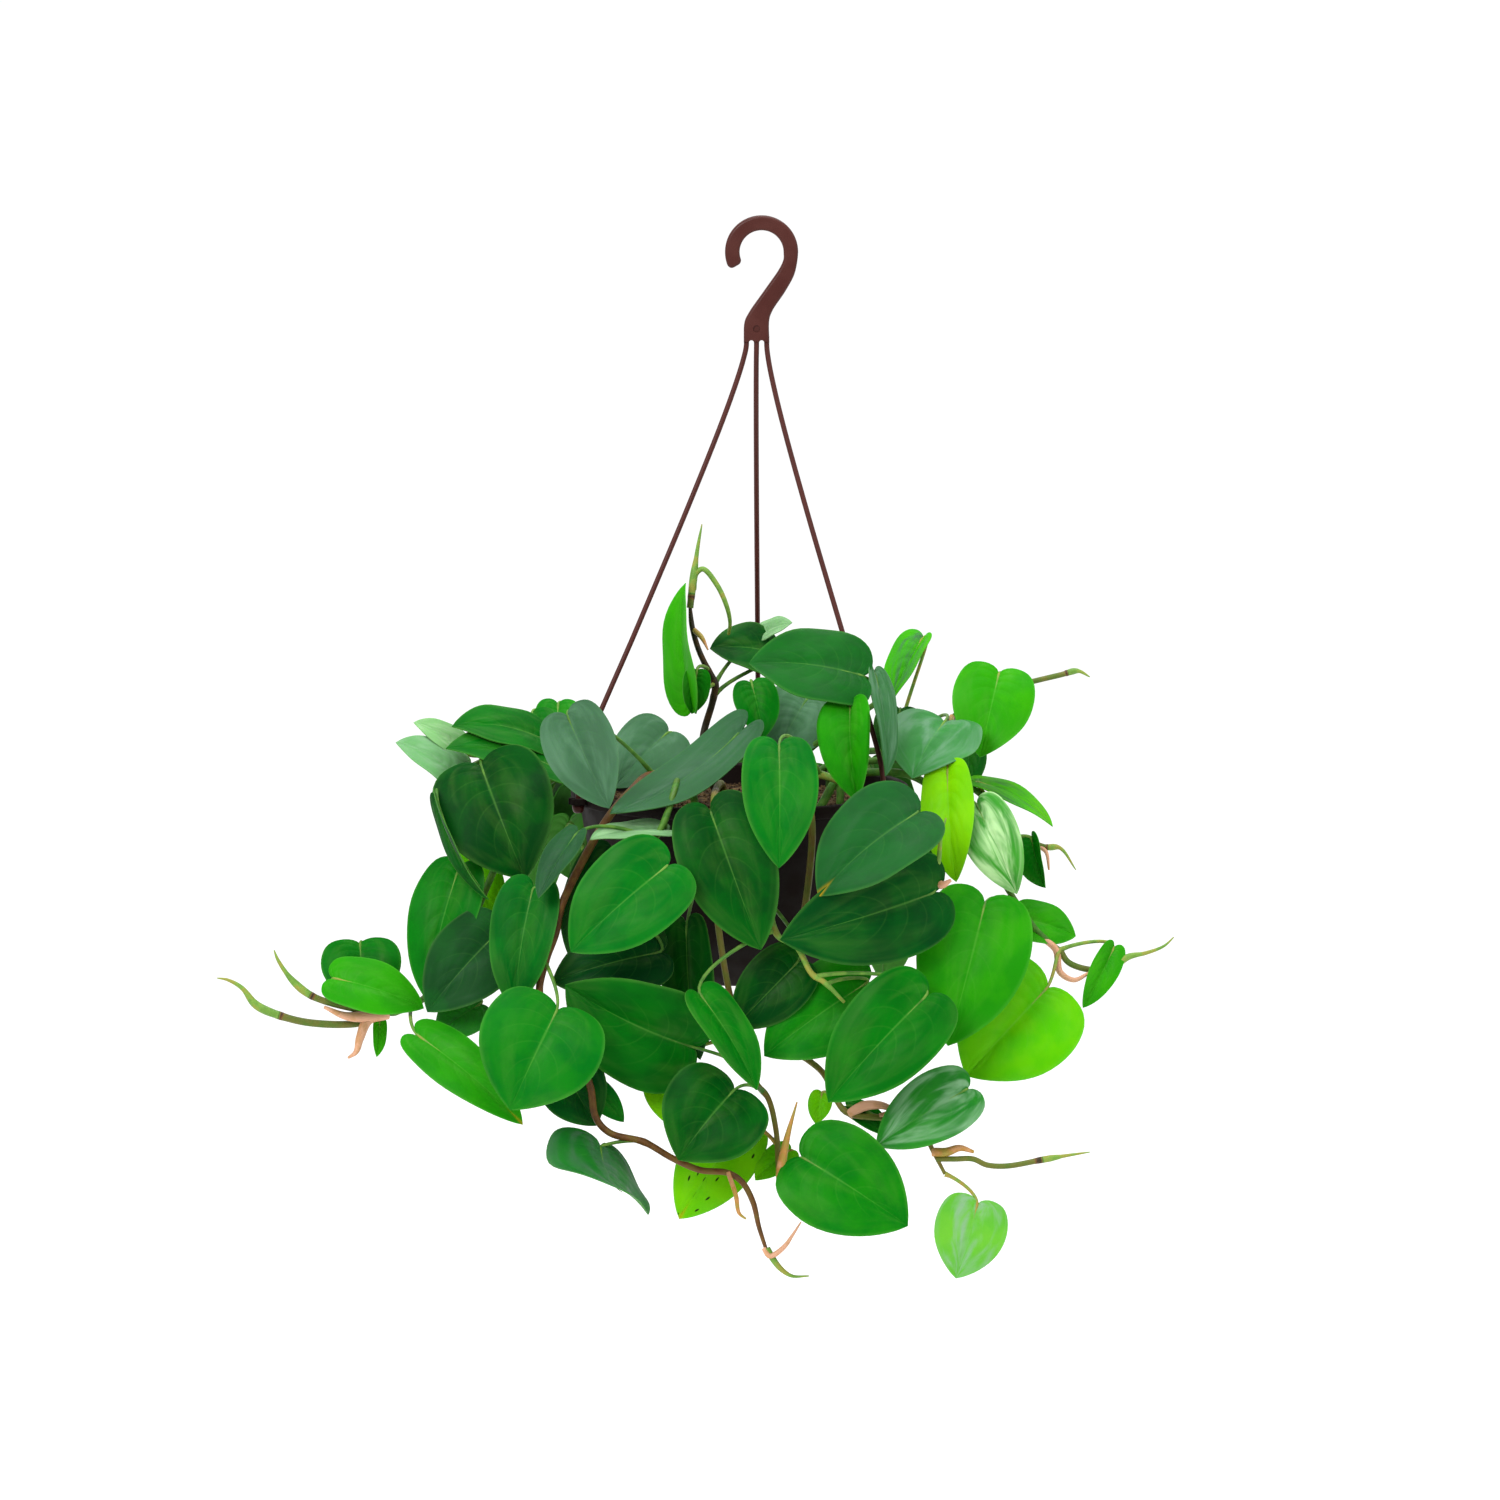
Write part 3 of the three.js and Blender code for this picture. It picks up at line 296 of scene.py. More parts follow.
VINES: list[Vine] = [
    vine("vine_upright", [-12, 22], 2,
      [[-17, 20, 10], [-18.5, 21, 24], [-13.5, 21, 43], [-12.5, 20, 51], [-17, 18, 60], [-21, 17, 69],
        [-24, 16, 80], [-25, 16, 90]],
      [
        leaf(0.45, [-24.5, 6, 41], [-27.5, 12, 101.5], 32, [-62, 0], 0.5, 0.06, 0.6),
        leaf(0.6, [-21.5, 2, 57], [-24, 3, 36], 15, [20, 0], 0.4, 0.05, 0.4),
        leaf(0.35, [16.7, 30, 67], [-15, 24, 69], 32, [-5, 40], 0.3, 0.08, 0.1),
        leaf(0.5, [10, 36, 76], [26, 32, 82], 15, [20, 50], 0.4, 0.05, 0.3),
      ],
      [
        shoot(2.2, 0.4, [[-25, 16, 89], [-23, 16, 106], [-21, 16, 120], [-19, 16, 131]]),
        shoot(1.4, 0.4, [[-23, 16, 78], [-19, 11, 74], [-16, 9, 68]]),
        shoot(1.2, 0.8, [[-23, 16, 98], [-22, 16, 106], [-18.5, 15, 108.5], [-11.5, 14, 100.5],
          [-6.7, 14, 90], [-5, 18, 82], [-5.7, 24, 76]]),
      ]),
    vine("vine_top_right", [24, 4], 2,
      [[23, 4, 6], [30, -4, 14], [42, -10, 24], [54, -14, 32], [66, -14, 40], [74, -10, 46]],
      [
        leaf(0.75, [61, -58, 55.5], [4.5, -62, 61.5], 46, [-5, 36], 0.3, 0.08, 0.15),
        leaf(0.15, [6, -14, 51], [12, -22, 24], 23, [10, 12], 0.35, 0.06, 0.2),
        leaf(0.3, [33, 6, 43], [17, -8, 13], 40, [5, 40], 0.3, 0.08, 0.1),
        leaf(0.55, [55, -70, 40], [59, -84, -8], 28, [-20, 10], 0.9, 0.1, 0.4),
        leaf(0.85, [68, -48, 56], [73, -60, 5], 22, [58, 5], 0.4, 0.05, 0.2),
      ],
      []),
    vine("vine_right_back", [45, 28], 2,
      [[46, 29, 8], [62, 38, 17], [76, 44, 18], [94, 38, 26], [112, 26, 38], [130, 12, 48], [141, 6, 51]],
      [
        leaf(0.9, [129.5, -6, 56.5], [120, -22, 14.5], 41, [2, 20], 0.3, 0.08, 0.5),
        leaf(0.6, [102, -20, 32], [86, -44, 4], 50, [-10, 40], 0.35, 0.08, 0.3),
        leaf(0.4, [91, 22, 74], [76, 12, 43], 21, [-40, 5], 0.7, 0.05, 0.6),
        leaf(0.4, [80, 26, 38], [76, 18, 12], 24, [0, 30], 0.3, 0.08, 0.05),
        leaf(0.75, [114, 20, 28], [113, 12, -4], 20, [30, 10], 0.3, 0.06, 0.1),
        leaf(0.7, [103.6, -46, 8.4], [108, -56, -48], 28, [-22, 10], 0.35, 0.06, 0.9),
      ],
      [
        shoot(1.8, 0.4, [[141, 6, 51], [160, 6, 55.5], [169, 6, 57.5], [175, 6, 54.5]]),
      ]),
    vine("vine_right_high", [50, -5], 2,
      [[52, -4, 8], [70, 2, 13], [88, 6, 12], [105, 0, 6], [120, -8, -4], [132, -14, -16], [139, -16, -25.5]],
      [
        leaf(0.8, [118, -2, 2.5], [156.5, -12, -20], 20, [10, 68], 0.3, 0.1, 0.75),
        leaf(0.97, [145.5, -18, -26], [152.5, -24, -51], 17, [-40, 0], 0.9, 0.05, 0.3),
      ],
      [
        shoot(1.8, 0.4, [[139, -16, -25], [152.5, -16, -30.5], [160, -16, -31], [168, -16, -42]]),
        shoot(1, 0.5, [[149, -16, -30], [153, -18, -33], [154.5, -18, -42]]),
      ]),
    vine("vine_right", [40, -24], 2.2,
      [[50, -24, 4], [68, -24, 7], [86, -26, 5], [104, -32, -8], [122, -40, -32], [138, -44, -58],
        [150, -44, -74], [160, -44, -82]],
      [
        leaf(0.75, [122.5, -72, -58.5], [104, -84, -130], 56, [5, 10], 0.3, 0.08, 0.36),
        leaf(0.85, [139, -40, -66], [168, -34, -75], 25, [15, 30], 0.3, 0.08, 0.45),
        leaf(0.95, [153.5, -58, -101], [113, -64, -145], 62, [5, 12], 0.3, 0.08, 0.68),
        leaf(0.98, [187, -44, -81], [171.5, -46, -111], 15, [20, 10], 0.6, 0.05, 0.5),
        leaf(0.52, [118.5, -48, -9.5], [138.5, -58, -54], 29, [-5, 8], 0.3, 0.08, 0.35),
      ],
      [
        shoot(2, 0.4, [[160, -44, -82], [164, -44, -88], [173, -44, -91.5], [184.5, -44, -91.5],
          [194, -44, -85.5], [203, -44, -83.5], [212, -44, -80], [217, -44, -75.5]]),
        shoot(1.6, 0.8, [[152, -44, -76.5], [158, -45, -82], [160, -46, -93], [167, -47, -97],
          [174.5, -48, -93.5]]),
      ]),
    vine("vine_front_right", [30, -30], 2.2,
      [[34, -34, 4], [46, -54, 4], [56, -72, -2], [66, -84, -10], [78, -88, -18], [90, -88, -30],
        [98, -86, -48]],
      [
        leaf(0.55, [89, -104, -13], [39, -116, -55], 50, [-12, 25], 0.45, 0.1, 0.12),
        leaf(0.9, [98, -92, -53], [20, -110, -77], 52, [0, -8], 0.3, 0.1, 0.05),
        leaf(0.2, [19.5, -104, 19.5], [19.5, -120, -41], 38, [4, 14], 0.35, 0.1, 0.3),
      ],
      [
        shoot(2.2, 0.8, [[98, -87, -47], [101, -91, -49.5], [105.5, -92, -47]]),
        shoot(1.2, 0.5, [[98, -87, -46], [99.5, -93, -36], [100.5, -94, -25], [103, -93, -16]]),
      ]),
    vine("vine_front_green", [14, -30], 2,
      [[12, -34, 3], [11, -62, 4], [10, -86, -3], [12, -93, -22], [16, -94, -42], [15, -98, -60],
        [19, -103, -75], [28, -104, -80], [36, -104, -94], [42, -104, -98], [52, -98, -108]],
      [
        leaf(0.62, [-19.5, -112, -104.5], [8.5, -120, -152], 27, [35, 8], 0.45, 0.06, 0.25),
        leaf(0.84, [93.5, -104, -104.5], [44, -112, -158], 50, [-5, 12], 0.3, 0.08, 0.25),
        leaf(0.95, [64, -82, -98], [12, -88, -135], 46, [0, 15], 0.3, 0.08, 0.35),
        leaf(0.5, [29, -88, -88], [-3, -86, -121], 34, [0, 5], 0.3, 0.06, 0.03),
      ],
      []),
    vine("vine_low_front", [-8, -34], 2,
      [[-9, -36, 0], [-12, -62, -2], [-13, -87, -8], [-14, -97, -24], [-12, -92, -60], [-6, -84, -100],
        [2, -82, -130], [8.5, -84, -149], [14, -86, -156], [18, -88, -172], [20, -90, -197],
        [22.5, -90, -202]],
      [
        leaf(0.25, [-15, -102, -12], [10.5, -109, -82], 48, [-5, 8], 0.3, 0.06, 0.05),
        leaf(0.35, [-27, -80, -70], [-20, -78, -137], 30, [-30, 0], 0.3, 0.06, 0.02),
        leaf(0.62, [-24, -90, -130.5], [-87.5, -98, -99.5], 58, [5, -26], 0.5, 0.1, 0.15),
        leaf(0.72, [-3, -106, -152], [-31, -112, -187], 54, [-5, 15], 0.3, 0.1, 0.1),
        leaf(0.9, [31, -100, -185.5], [84, -108, -220], 54, [5, 8], 0.3, 0.08, 0.35),
        leaf(0.85, [1, -74, -169], [-30.5, -80, -216.5], 38, [0, 10], 0.3, 0.08, 0.8),
        leaf(0.97, [25, -80, -182], [7.5, -84, -197], 16, [-20, 20], 0.3, 0.08, 0.85),
        leaf(0.6, [-41, -76, -147], [-22, -80, -173], 22, [-10, 10], 0.3, 0.08, 0.9),
      ],
      [
        shoot(2.8, 0.4, [[22, -91, -202], [20.5, -98, -193], [23.5, -99, -176], [28.5, -99, -158]]),
      ]),
    vine("vine_right_low", [20, -28], 2,
      [[20, -30, 3], [27, -58, 5], [33, -82, -3], [36, -90, -20], [34, -86, -50], [28, -76, -85],
        [22, -70, -112], [25, -70, -131], [34, -72, -137], [41.5, -76, -143.5], [53, -84, -163],
        [71, -88, -166], [82, -90, -169], [92, -92, -173], [96, -92, -181.5], [102.5, -92, -194]],
      [
        leaf(0.85, [113.5, -92, -151.5], [68, -98, -180], 35, [8, 20], 0.3, 0.08, 0.35),
        leaf(1, [118.8, -92, -209], [108, -96, -246.3], 36, [5, 8], 0.25, 0.06, 0.75),
        leaf(0.7, [41, -78, -153.5], [38, -82, -169], 12, [0, 15], 0.3, 0.08, 0.85),
        leaf(0.72, [54, -78, -160], [77, -80, -176], 13, [0, 35], 0.5, 0.08, 0.2),
      ],
      [
        shoot(1.8, 0.4, [[98, -92, -186.5], [107.5, -92, -186.5], [116.5, -92, -186.5], [123.5, -92, -189.5],
          [133.5, -92, -190], [150.5, -92, -187], [162, -92, -185], [175, -92, -183]]),
        shoot(2.2, 0.8, [[96, -92, -183], [103, -93, -183], [110, -93, -181], [117, -93, -183]]),
        shoot(2.6, 0.8, [[55, -84, -164], [62, -87, -160], [72, -88, -160], [81, -88, -165]]),
        shoot(1.4, 0.5, [[70, -88, -165], [79, -90, -162], [85, -91, -157]]),
      ]),
    vine("vine_front_left", [-34, -34], 2.2,
      [[-36, -38, 3], [-46, -56, 5], [-54, -70, -2], [-66, -84, -16], [-80, -94, -40], [-90, -98, -62],
        [-92, -98, -73], [-98, -98, -90], [-100, -98, -105], [-88, -98, -128], [-75.5, -98, -148],
        [-72, -98, -166], [-65, -98, -173.5], [-48, -98, -178], [-34, -98, -186], [-20, -97, -192],
        [-6, -96, -193.5], [1, -95, -198], [6.5, -94, -208], [9.5, -93, -220.5], [13.5, -92, -233]],
      [
        leaf(0.38, [-91.5, -112, -112], [-115, -120, -162], 62, [0, 12], 0.3, 0.08, 0.3),
        leaf(0.1, [-86.3, -84, 35], [-65.4, -99, -11.2], 36, [-8, 10], 0.35, 0.08, 0.05),
        leaf(0.3, [-103.5, -92, -50.5], [-113, -96, -112], 34, [-15, 8], 0.4, 0.08, 0.2),
        leaf(0.45, [-90, -90, -138], [-72, -92, -170], 34, [-10, 10], 0.3, 0.06, 0.05),
        leaf(0.48, [-76, -88, -148], [-58, -90, -168], 14, [10, 10], 0.3, 0.06, 0.3),
        leaf(0.68, [-69.5, -98, -179.2], [-55, -152, -203.5], 60, [35, 17], 0, -0.08, 0.3),
      ],
      [
        shoot(1.6, 0.4, [[13.5, -92, -231], [16.5, -92, -236.5], [20.5, -92, -241.5], [26, -92, -245],
          [34.5, -92, -245]]),
        shoot(1.4, 0.4, [[12, -92, -231], [15, -93, -235], [22, -93, -230.5], [26, -93, -225],
          [30.5, -93, -218]]),
        shoot(1.1, 0.5, [[-6, -97, -193], [-2, -99, -205], [-0.5, -100, -213.5], [3, -100, -216.5]]),
      ]),
    vine("vine_left_low", [-40, -12], 2.2,
      [[-46, -11, 5], [-64, -8, 8], [-87, -6, 7], [-106, -14, -8], [-122, -28, -40], [-136, -40, -72],
        [-150, -48, -98], [-162, -50, -109], [-172, -50, -113], [-180, -50, -114]],
      [
        leaf(0.55, [-141, -62, -42], [-156, -72, -108], 36, [-20, 8], 0.35, 0.08, 0.2),
        leaf(0.7, [-120, -78, -72], [-156.5, -84, -113], 42, [-10, 10], 0.3, 0.08, 0.05),
        leaf(0.9, [-190, -50, -79], [-188, -56, -110], 40, [0, 15], 0.3, 0.08, 0.2),
        leaf(0.93, [-203, -62, -96], [-158, -66, -111], 30, [0, 30], 0.3, 0.08, 0.55),
        leaf(0.97, [-180, -46, -117], [-181.5, -48, -135.5], 8, [30, 0], 0.4, 0.05, 0.65),
        leaf(0.8, [-160.5, -84, -125], [-108.5, -98, -169.2], 28, [0, 28], 0.3, 0.08, 0.5),
        leaf(0.75, [-130, -70, -109], [-152, -76, -124], 24, [0, 20], 0.3, 0.08, 0.4),
      ],
      [
        shoot(2.4, 0.4, [[-179, -50, -114], [-190, -50, -118.5], [-214, -50, -118.5], [-229.5, -50, -115],
          [-242, -50, -109.4], [-249, -50, -101], [-256, -50, -97], [-261.5, -50, -96]]),
        shoot(2.2, 0.4, [[-179, -50, -113], [-194.5, -54, -111], [-214, -54, -105], [-224, -54, -97],
          [-231, -54, -87], [-233, -54, -82]]),
        shoot(2.6, 0.6, [[-178, -50, -114], [-186, -53, -117], [-190, -54, -126], [-192, -54, -133],
          [-196, -54, -136]]),
        shoot(3.2, 0.8, [[-176, -51, -113.5], [-186, -54, -115], [-197, -56, -115], [-208, -56, -110.5]]),
      ]),
    vine("vine_left_high", [-35, 22], 2,
      [[-42, 22, 8], [-62, 22, 14], [-83, 19, 12], [-100, 8, 12], [-116, -6, 14], [-130, -18, 12],
        [-142, -26, 4], [-150, -30, -6]],
      [
        leaf(0.6, [-129.3, -58, 9.7], [-107.2, -72, -46.7], 60, [-8, 12], 0.35, 0.1, 0.05),
        leaf(0.35, [-98, -20, 23.5], [-144, -34, 30], 34, [-10, 50], 0.3, 0.1, 0.2),
        leaf(0.4, [-92, -34, 9], [-147, -44, 19], 40, [-10, 58], 0.3, 0.1, 0.2),
        leaf(0.3, [-104, -2, 36], [-98, -14, 6], 26, [0, 20], 0.3, 0.08, 0.3),
        leaf(0.25, [-91, 4, 41], [-92, -10, 10], 24, [0, 20], 0.3, 0.08, 0.4),
        leaf(0.7, [-136, -20, 16], [-163, -30, 32], 20, [0, 45], 0.3, 0.08, 0.5),
        leaf(0.8, [-138, -34, 4], [-172, -40, 22], 28, [0, 50], 0.3, 0.08, 0.55),
        leaf(0.97, [-152, -70, -7], [-126, -86, -57], 16, [-78, 0], 0.5, 0.06, 0.1),
        leaf(0.97, [-136, -20, -35], [-121.5, -26, -69.5], 24, [10, 10], 0.3, 0.08, 0.75),
      ],
      []),
    vine("vine_left_front", [-22, -30], 2,
      [[-25, -34, 3], [-30, -58, 6], [-33, -82, -3], [-38, -92, -18], [-46, -96, -32], [-56, -96, -44],
        [-66, -94, -54]],
      [
        leaf(0.15, [-36, -20, 27], [-63, -36, -1], 36, [0, 25], 0.3, 0.08, 0.15),
        leaf(0.25, [1, -54, 28.5], [-65, -104, -13.5], 30, [10, 58], 0.3, -0.08, 0.1),
        leaf(0.6, [-37, -88, -21.5], [-75, -103, -26.5], 26, [0, 70], 0.3, 0.05, 0.3),
        leaf(0.7, [-81.8, -100, -23.3], [-101, -108, -56], 20, [-45, 5], 0.4, 0.05, 0.1),
        leaf(0.8, [-36, -114, -39.5], [-84.7, -120, -83], 50, [-5, 14], 0.3, 0.08, 0.3),
        leaf(0.95, [-40, -90, -83], [-94, -88, -98], 38, [0, 20], 0.3, 0.08, 0.02),
        leaf(0.85, [-64, -84, -34], [-84, -88, -88], 32, [-10, 5], 0.3, 0.08, 0.02),
      ],
      []),
    falling_vine("vine_back_right", [30, 45], 46, 2, 5),
    falling_vine("vine_back_middle", [10, 52], 78, 10, 5),
    falling_vine("vine_back_left", [-17, 50], 111, -2, 4),
    falling_vine("vine_back_far_left", [-30, 40], 143, 8, 3),
]

DARK_VINES = ("vine_front_right", "vine_front_left", "vine_left_front")
YOUNG_VINES = ("vine_right_back", "vine_right_high", "vine_right")
STEM_TONES = {
    "vine_upright": Tone.BARK,
    "vine_right_back": Tone.GREEN,
    "vine_right_high": Tone.GREEN,
    "vine_front_right": Tone.PALE,
    "vine_front_green": Tone.PALE,
    "vine_low_front": Tone.OLIVE,
    "vine_right_low": Tone.OLIVE,
    "vine_front_left": Tone.GOLDEN,
    "vine_left_low": Tone.GREEN,
}
SHOOT_TONES = {
    ("vine_upright", 1): Tone.TAN,
    ("vine_upright", 2): Tone.PALE,
    ("vine_right", 1): Tone.DRY,
    ("vine_right_high", 1): Tone.DRY,
    ("vine_front_right", 0): Tone.DRY,
    ("vine_low_front", 0): Tone.TAN,
    ("vine_right_low", 1): Tone.TAN,
    ("vine_right_low", 2): Tone.DRY,
    ("vine_right_low", 3): Tone.DRY,
    ("vine_left_low", 2): Tone.DRY,
    ("vine_left_low", 3): Tone.DRY,
    ("vine_front_left", 1): Tone.DRY,
    ("vine_front_left", 2): Tone.TAN,
}

# Where along a spear its stalk ends and its rolled young blade begins
SPEAR_JOINTS = {
    ("vine_upright", 0): 0.12,
    ("vine_right_back", 0): 0.45,
    ("vine_right_high", 0): 0.37,
    ("vine_right", 0): 0.4,
    ("vine_right_low", 0): 0.71,
    ("vine_left_low", 0): 0.43,
    ("vine_left_low", 1): 0.4,
}

# The leaves that bear marks, painted sheen among them, by their place on their stem
LOOKS = {
    "vine_upright": {3: Look(0.75)},
    "vine_top_right": {0: Look(0.15), 2: Look(0.45), 4: Look(0.5, 0.4)},
    "vine_right_back": {1: Look(0.55, 0.5), 2: Look(0.4, 1.0)},
    "vine_right_high": {0: Look(0.3, 1.0)},
    "vine_right": {4: Look(1.0, 0.95)},
    "vine_front_right": {0: Look(0.2, turning=1.0)},
    "vine_low_front": {5: Look(dots=1.0, turning=0.5)},
    "vine_right_low": {0: Look(0.65, 0.95), 1: Look(0.7, 0.8)},
    "vine_front_left": {1: Look(0.42), 5: Look(0.4, 0.8)},
    "vine_left_low": {1: Look(0.15), 5: Look(turning=0.5), 6: Look(0.2)},
    "vine_left_high": {5: Look(0.8), 6: Look(0.68)},
    "vine_left_front": {0: Look(0.45), 1: Look(0.38), 2: Look(0.75), 3: Look(0.3)},
}


# Display colours by the stem's tone, of the painted sheen by how much of it a leaf has, and from damp to dry
# bits of the mix
STEM_COLOURS = {
    Tone.BARK.value: (36, 30, 10),
    Tone.GOLDEN.value: (86, 54, 18),
    Tone.OLIVE.value: (88, 84, 26),
    Tone.GREEN.value: (42, 90, 18),
    Tone.PALE.value: (94, 128, 46),
    Tone.TAN.value: (148, 106, 46),
    Tone.DRY.value: (180, 136, 108),
}
# The painted sheen's colours: faint light streaks, then grey-green, then a pale painted reflection
PAINTED_SHEEN_TONES = {
    0.0: (110, 150, 70),
    0.12: (46, 78, 50),
    0.35: (48, 76, 56),
    0.6: (84, 126, 92),
    1.0: (150, 184, 130),
}
MIX_TONES = {
    0.0: (22, 15, 9),
    0.45: (50, 37, 22),
    0.75: (84, 66, 40),
    1.0: (134, 112, 76),
}


def catmull_rom(points: np.ndarray, share: float) -> np.ndarray:
    """Gives a point of the centripetal curve through a row of points.

    Args:
        points: the row of points.
        share: how far along the row, from 0 to 1, each stretch counting alike.

    Returns:
        The point on the curve.
    """
    place = (len(points) - 1) * share
    index = min(int(place), len(points) - 2)
    weight = place - index
    before = points[index - 1] if index > 0 else 2 * points[0] - points[1]
    after = points[index + 2] if index + 2 < len(points) else 2 * points[-1] - points[-2]
    row = [before, points[index], points[index + 1], after]
    gaps = [max(np.linalg.norm(row[i + 1] - row[i]) ** 0.5, 1e-4) for i in range(3)]
    start = (
        (row[1] - row[0]) / gaps[0] - (row[2] - row[0]) / (gaps[0] + gaps[1]) + (row[2] - row[1]) / gaps[1]
    ) * gaps[1]
    stop = (
        (row[2] - row[1]) / gaps[1] - (row[3] - row[1]) / (gaps[1] + gaps[2]) + (row[3] - row[2]) / gaps[2]
    ) * gaps[1]
    cubic = 2 * row[1] - 2 * row[2] + start + stop
    square = -3 * row[1] + 3 * row[2] - 2 * start - stop
    return row[1] + weight * (start + weight * (square + weight * cubic))


def curve_points(points: np.ndarray, steps: int) -> np.ndarray:
    """Samples the curve through a row of points evenly in its share."""
    return np.array([catmull_rom(points, i / steps) for i in range(steps + 1)])


def bezier_points(controls: list[np.ndarray], steps: int) -> np.ndarray:
    """Samples a cubic curve with four control points.

    Args:
        controls: the control points.
        steps: how many stretches it is cut into.

    Returns:
        The points from its start to its end.
    """
    t = np.linspace(0, 1, steps + 1)[:, None]
    a, b, c, d = controls
    return (1 - t) ** 3 * a + 3 * (1 - t) ** 2 * t * b + 3 * (1 - t) * t * t * c + t**3 * d


def linked(name: str, data: Any) -> Piece:
    """Makes an object from its data and links it to the scene.

    Args:
        name: the object's name.
        data: its mesh, curve, camera or light.

    Returns:
        The object.
    """
    made = bpy.data.objects.new(name, data)
    bpy.context.scene.collection.objects.link(made)
    return made


def mesh_object(name: str, points: np.ndarray, faces: list[tuple[int, ...]]) -> Piece:
    """Makes a mesh object at the origin from points in millimetres.

    Args:
        name: the piece's name.
        points: its vertices.
        faces: its faces, by vertex number, facing outwards.

    Returns:
        The object, linked to the scene.
    """
    mesh = bpy.data.meshes.new(name)
    mesh.from_pydata((np.asarray(points) * MM).tolist(), [], faces)
    mesh.update()
    return linked(name, mesh)


def shape_object(name: str, shape: bmesh.types.BMesh) -> Piece:
    """Makes a mesh object from a shape in millimetres and frees the shape.

    Args:
        name: the object's name.
        shape: the shape, which can't be used afterwards.

    Returns:
        The object, linked to the scene.
    """
    bmesh.ops.scale(shape, verts=shape.verts, vec=(MM, MM, MM))
    mesh = bpy.data.meshes.new(name)
    shape.to_mesh(mesh)
    shape.free()
    return linked(name, mesh)


def evaluated(piece: Piece) -> Piece:
    """Turns a piece with modifiers into a plain mesh object of the same name.

    Args:
        piece: the object with its modifiers.

    Returns:
        The same object without modifiers.
    """
    bpy.context.view_layer.update()
    graph = bpy.context.evaluated_depsgraph_get()
    mesh = bpy.data.meshes.new_from_object(piece.evaluated_get(graph))
    old = piece.data
    piece.modifiers.clear()
    piece.data = mesh
    bpy.data.meshes.remove(old)
    return piece


def smooth(piece: Piece, degrees: float) -> None:
    """Shades a piece smoothly, but for edges sharper than an angle."""
    piece.data.shade_smooth()
    piece.data.set_sharp_from_angle(angle=math.radians(degrees))


def dress(piece: Piece, material: Material, slot: Slot, *nodes: str) -> None:
    """Gives a finished piece its material and its place in the frame.

    Args:
        piece: the plain mesh object.
        material: the finish of all its faces.
        slot: the record's slot the finish belongs to; not used.
        nodes: the solids that the piece stands for.
    """
    piece.data.materials.clear()
    piece.data.materials.append(material)
    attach(piece, BODY)
    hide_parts(*nodes)
    log.info("%s: %d faces", piece.name, len(piece.data.polygons))


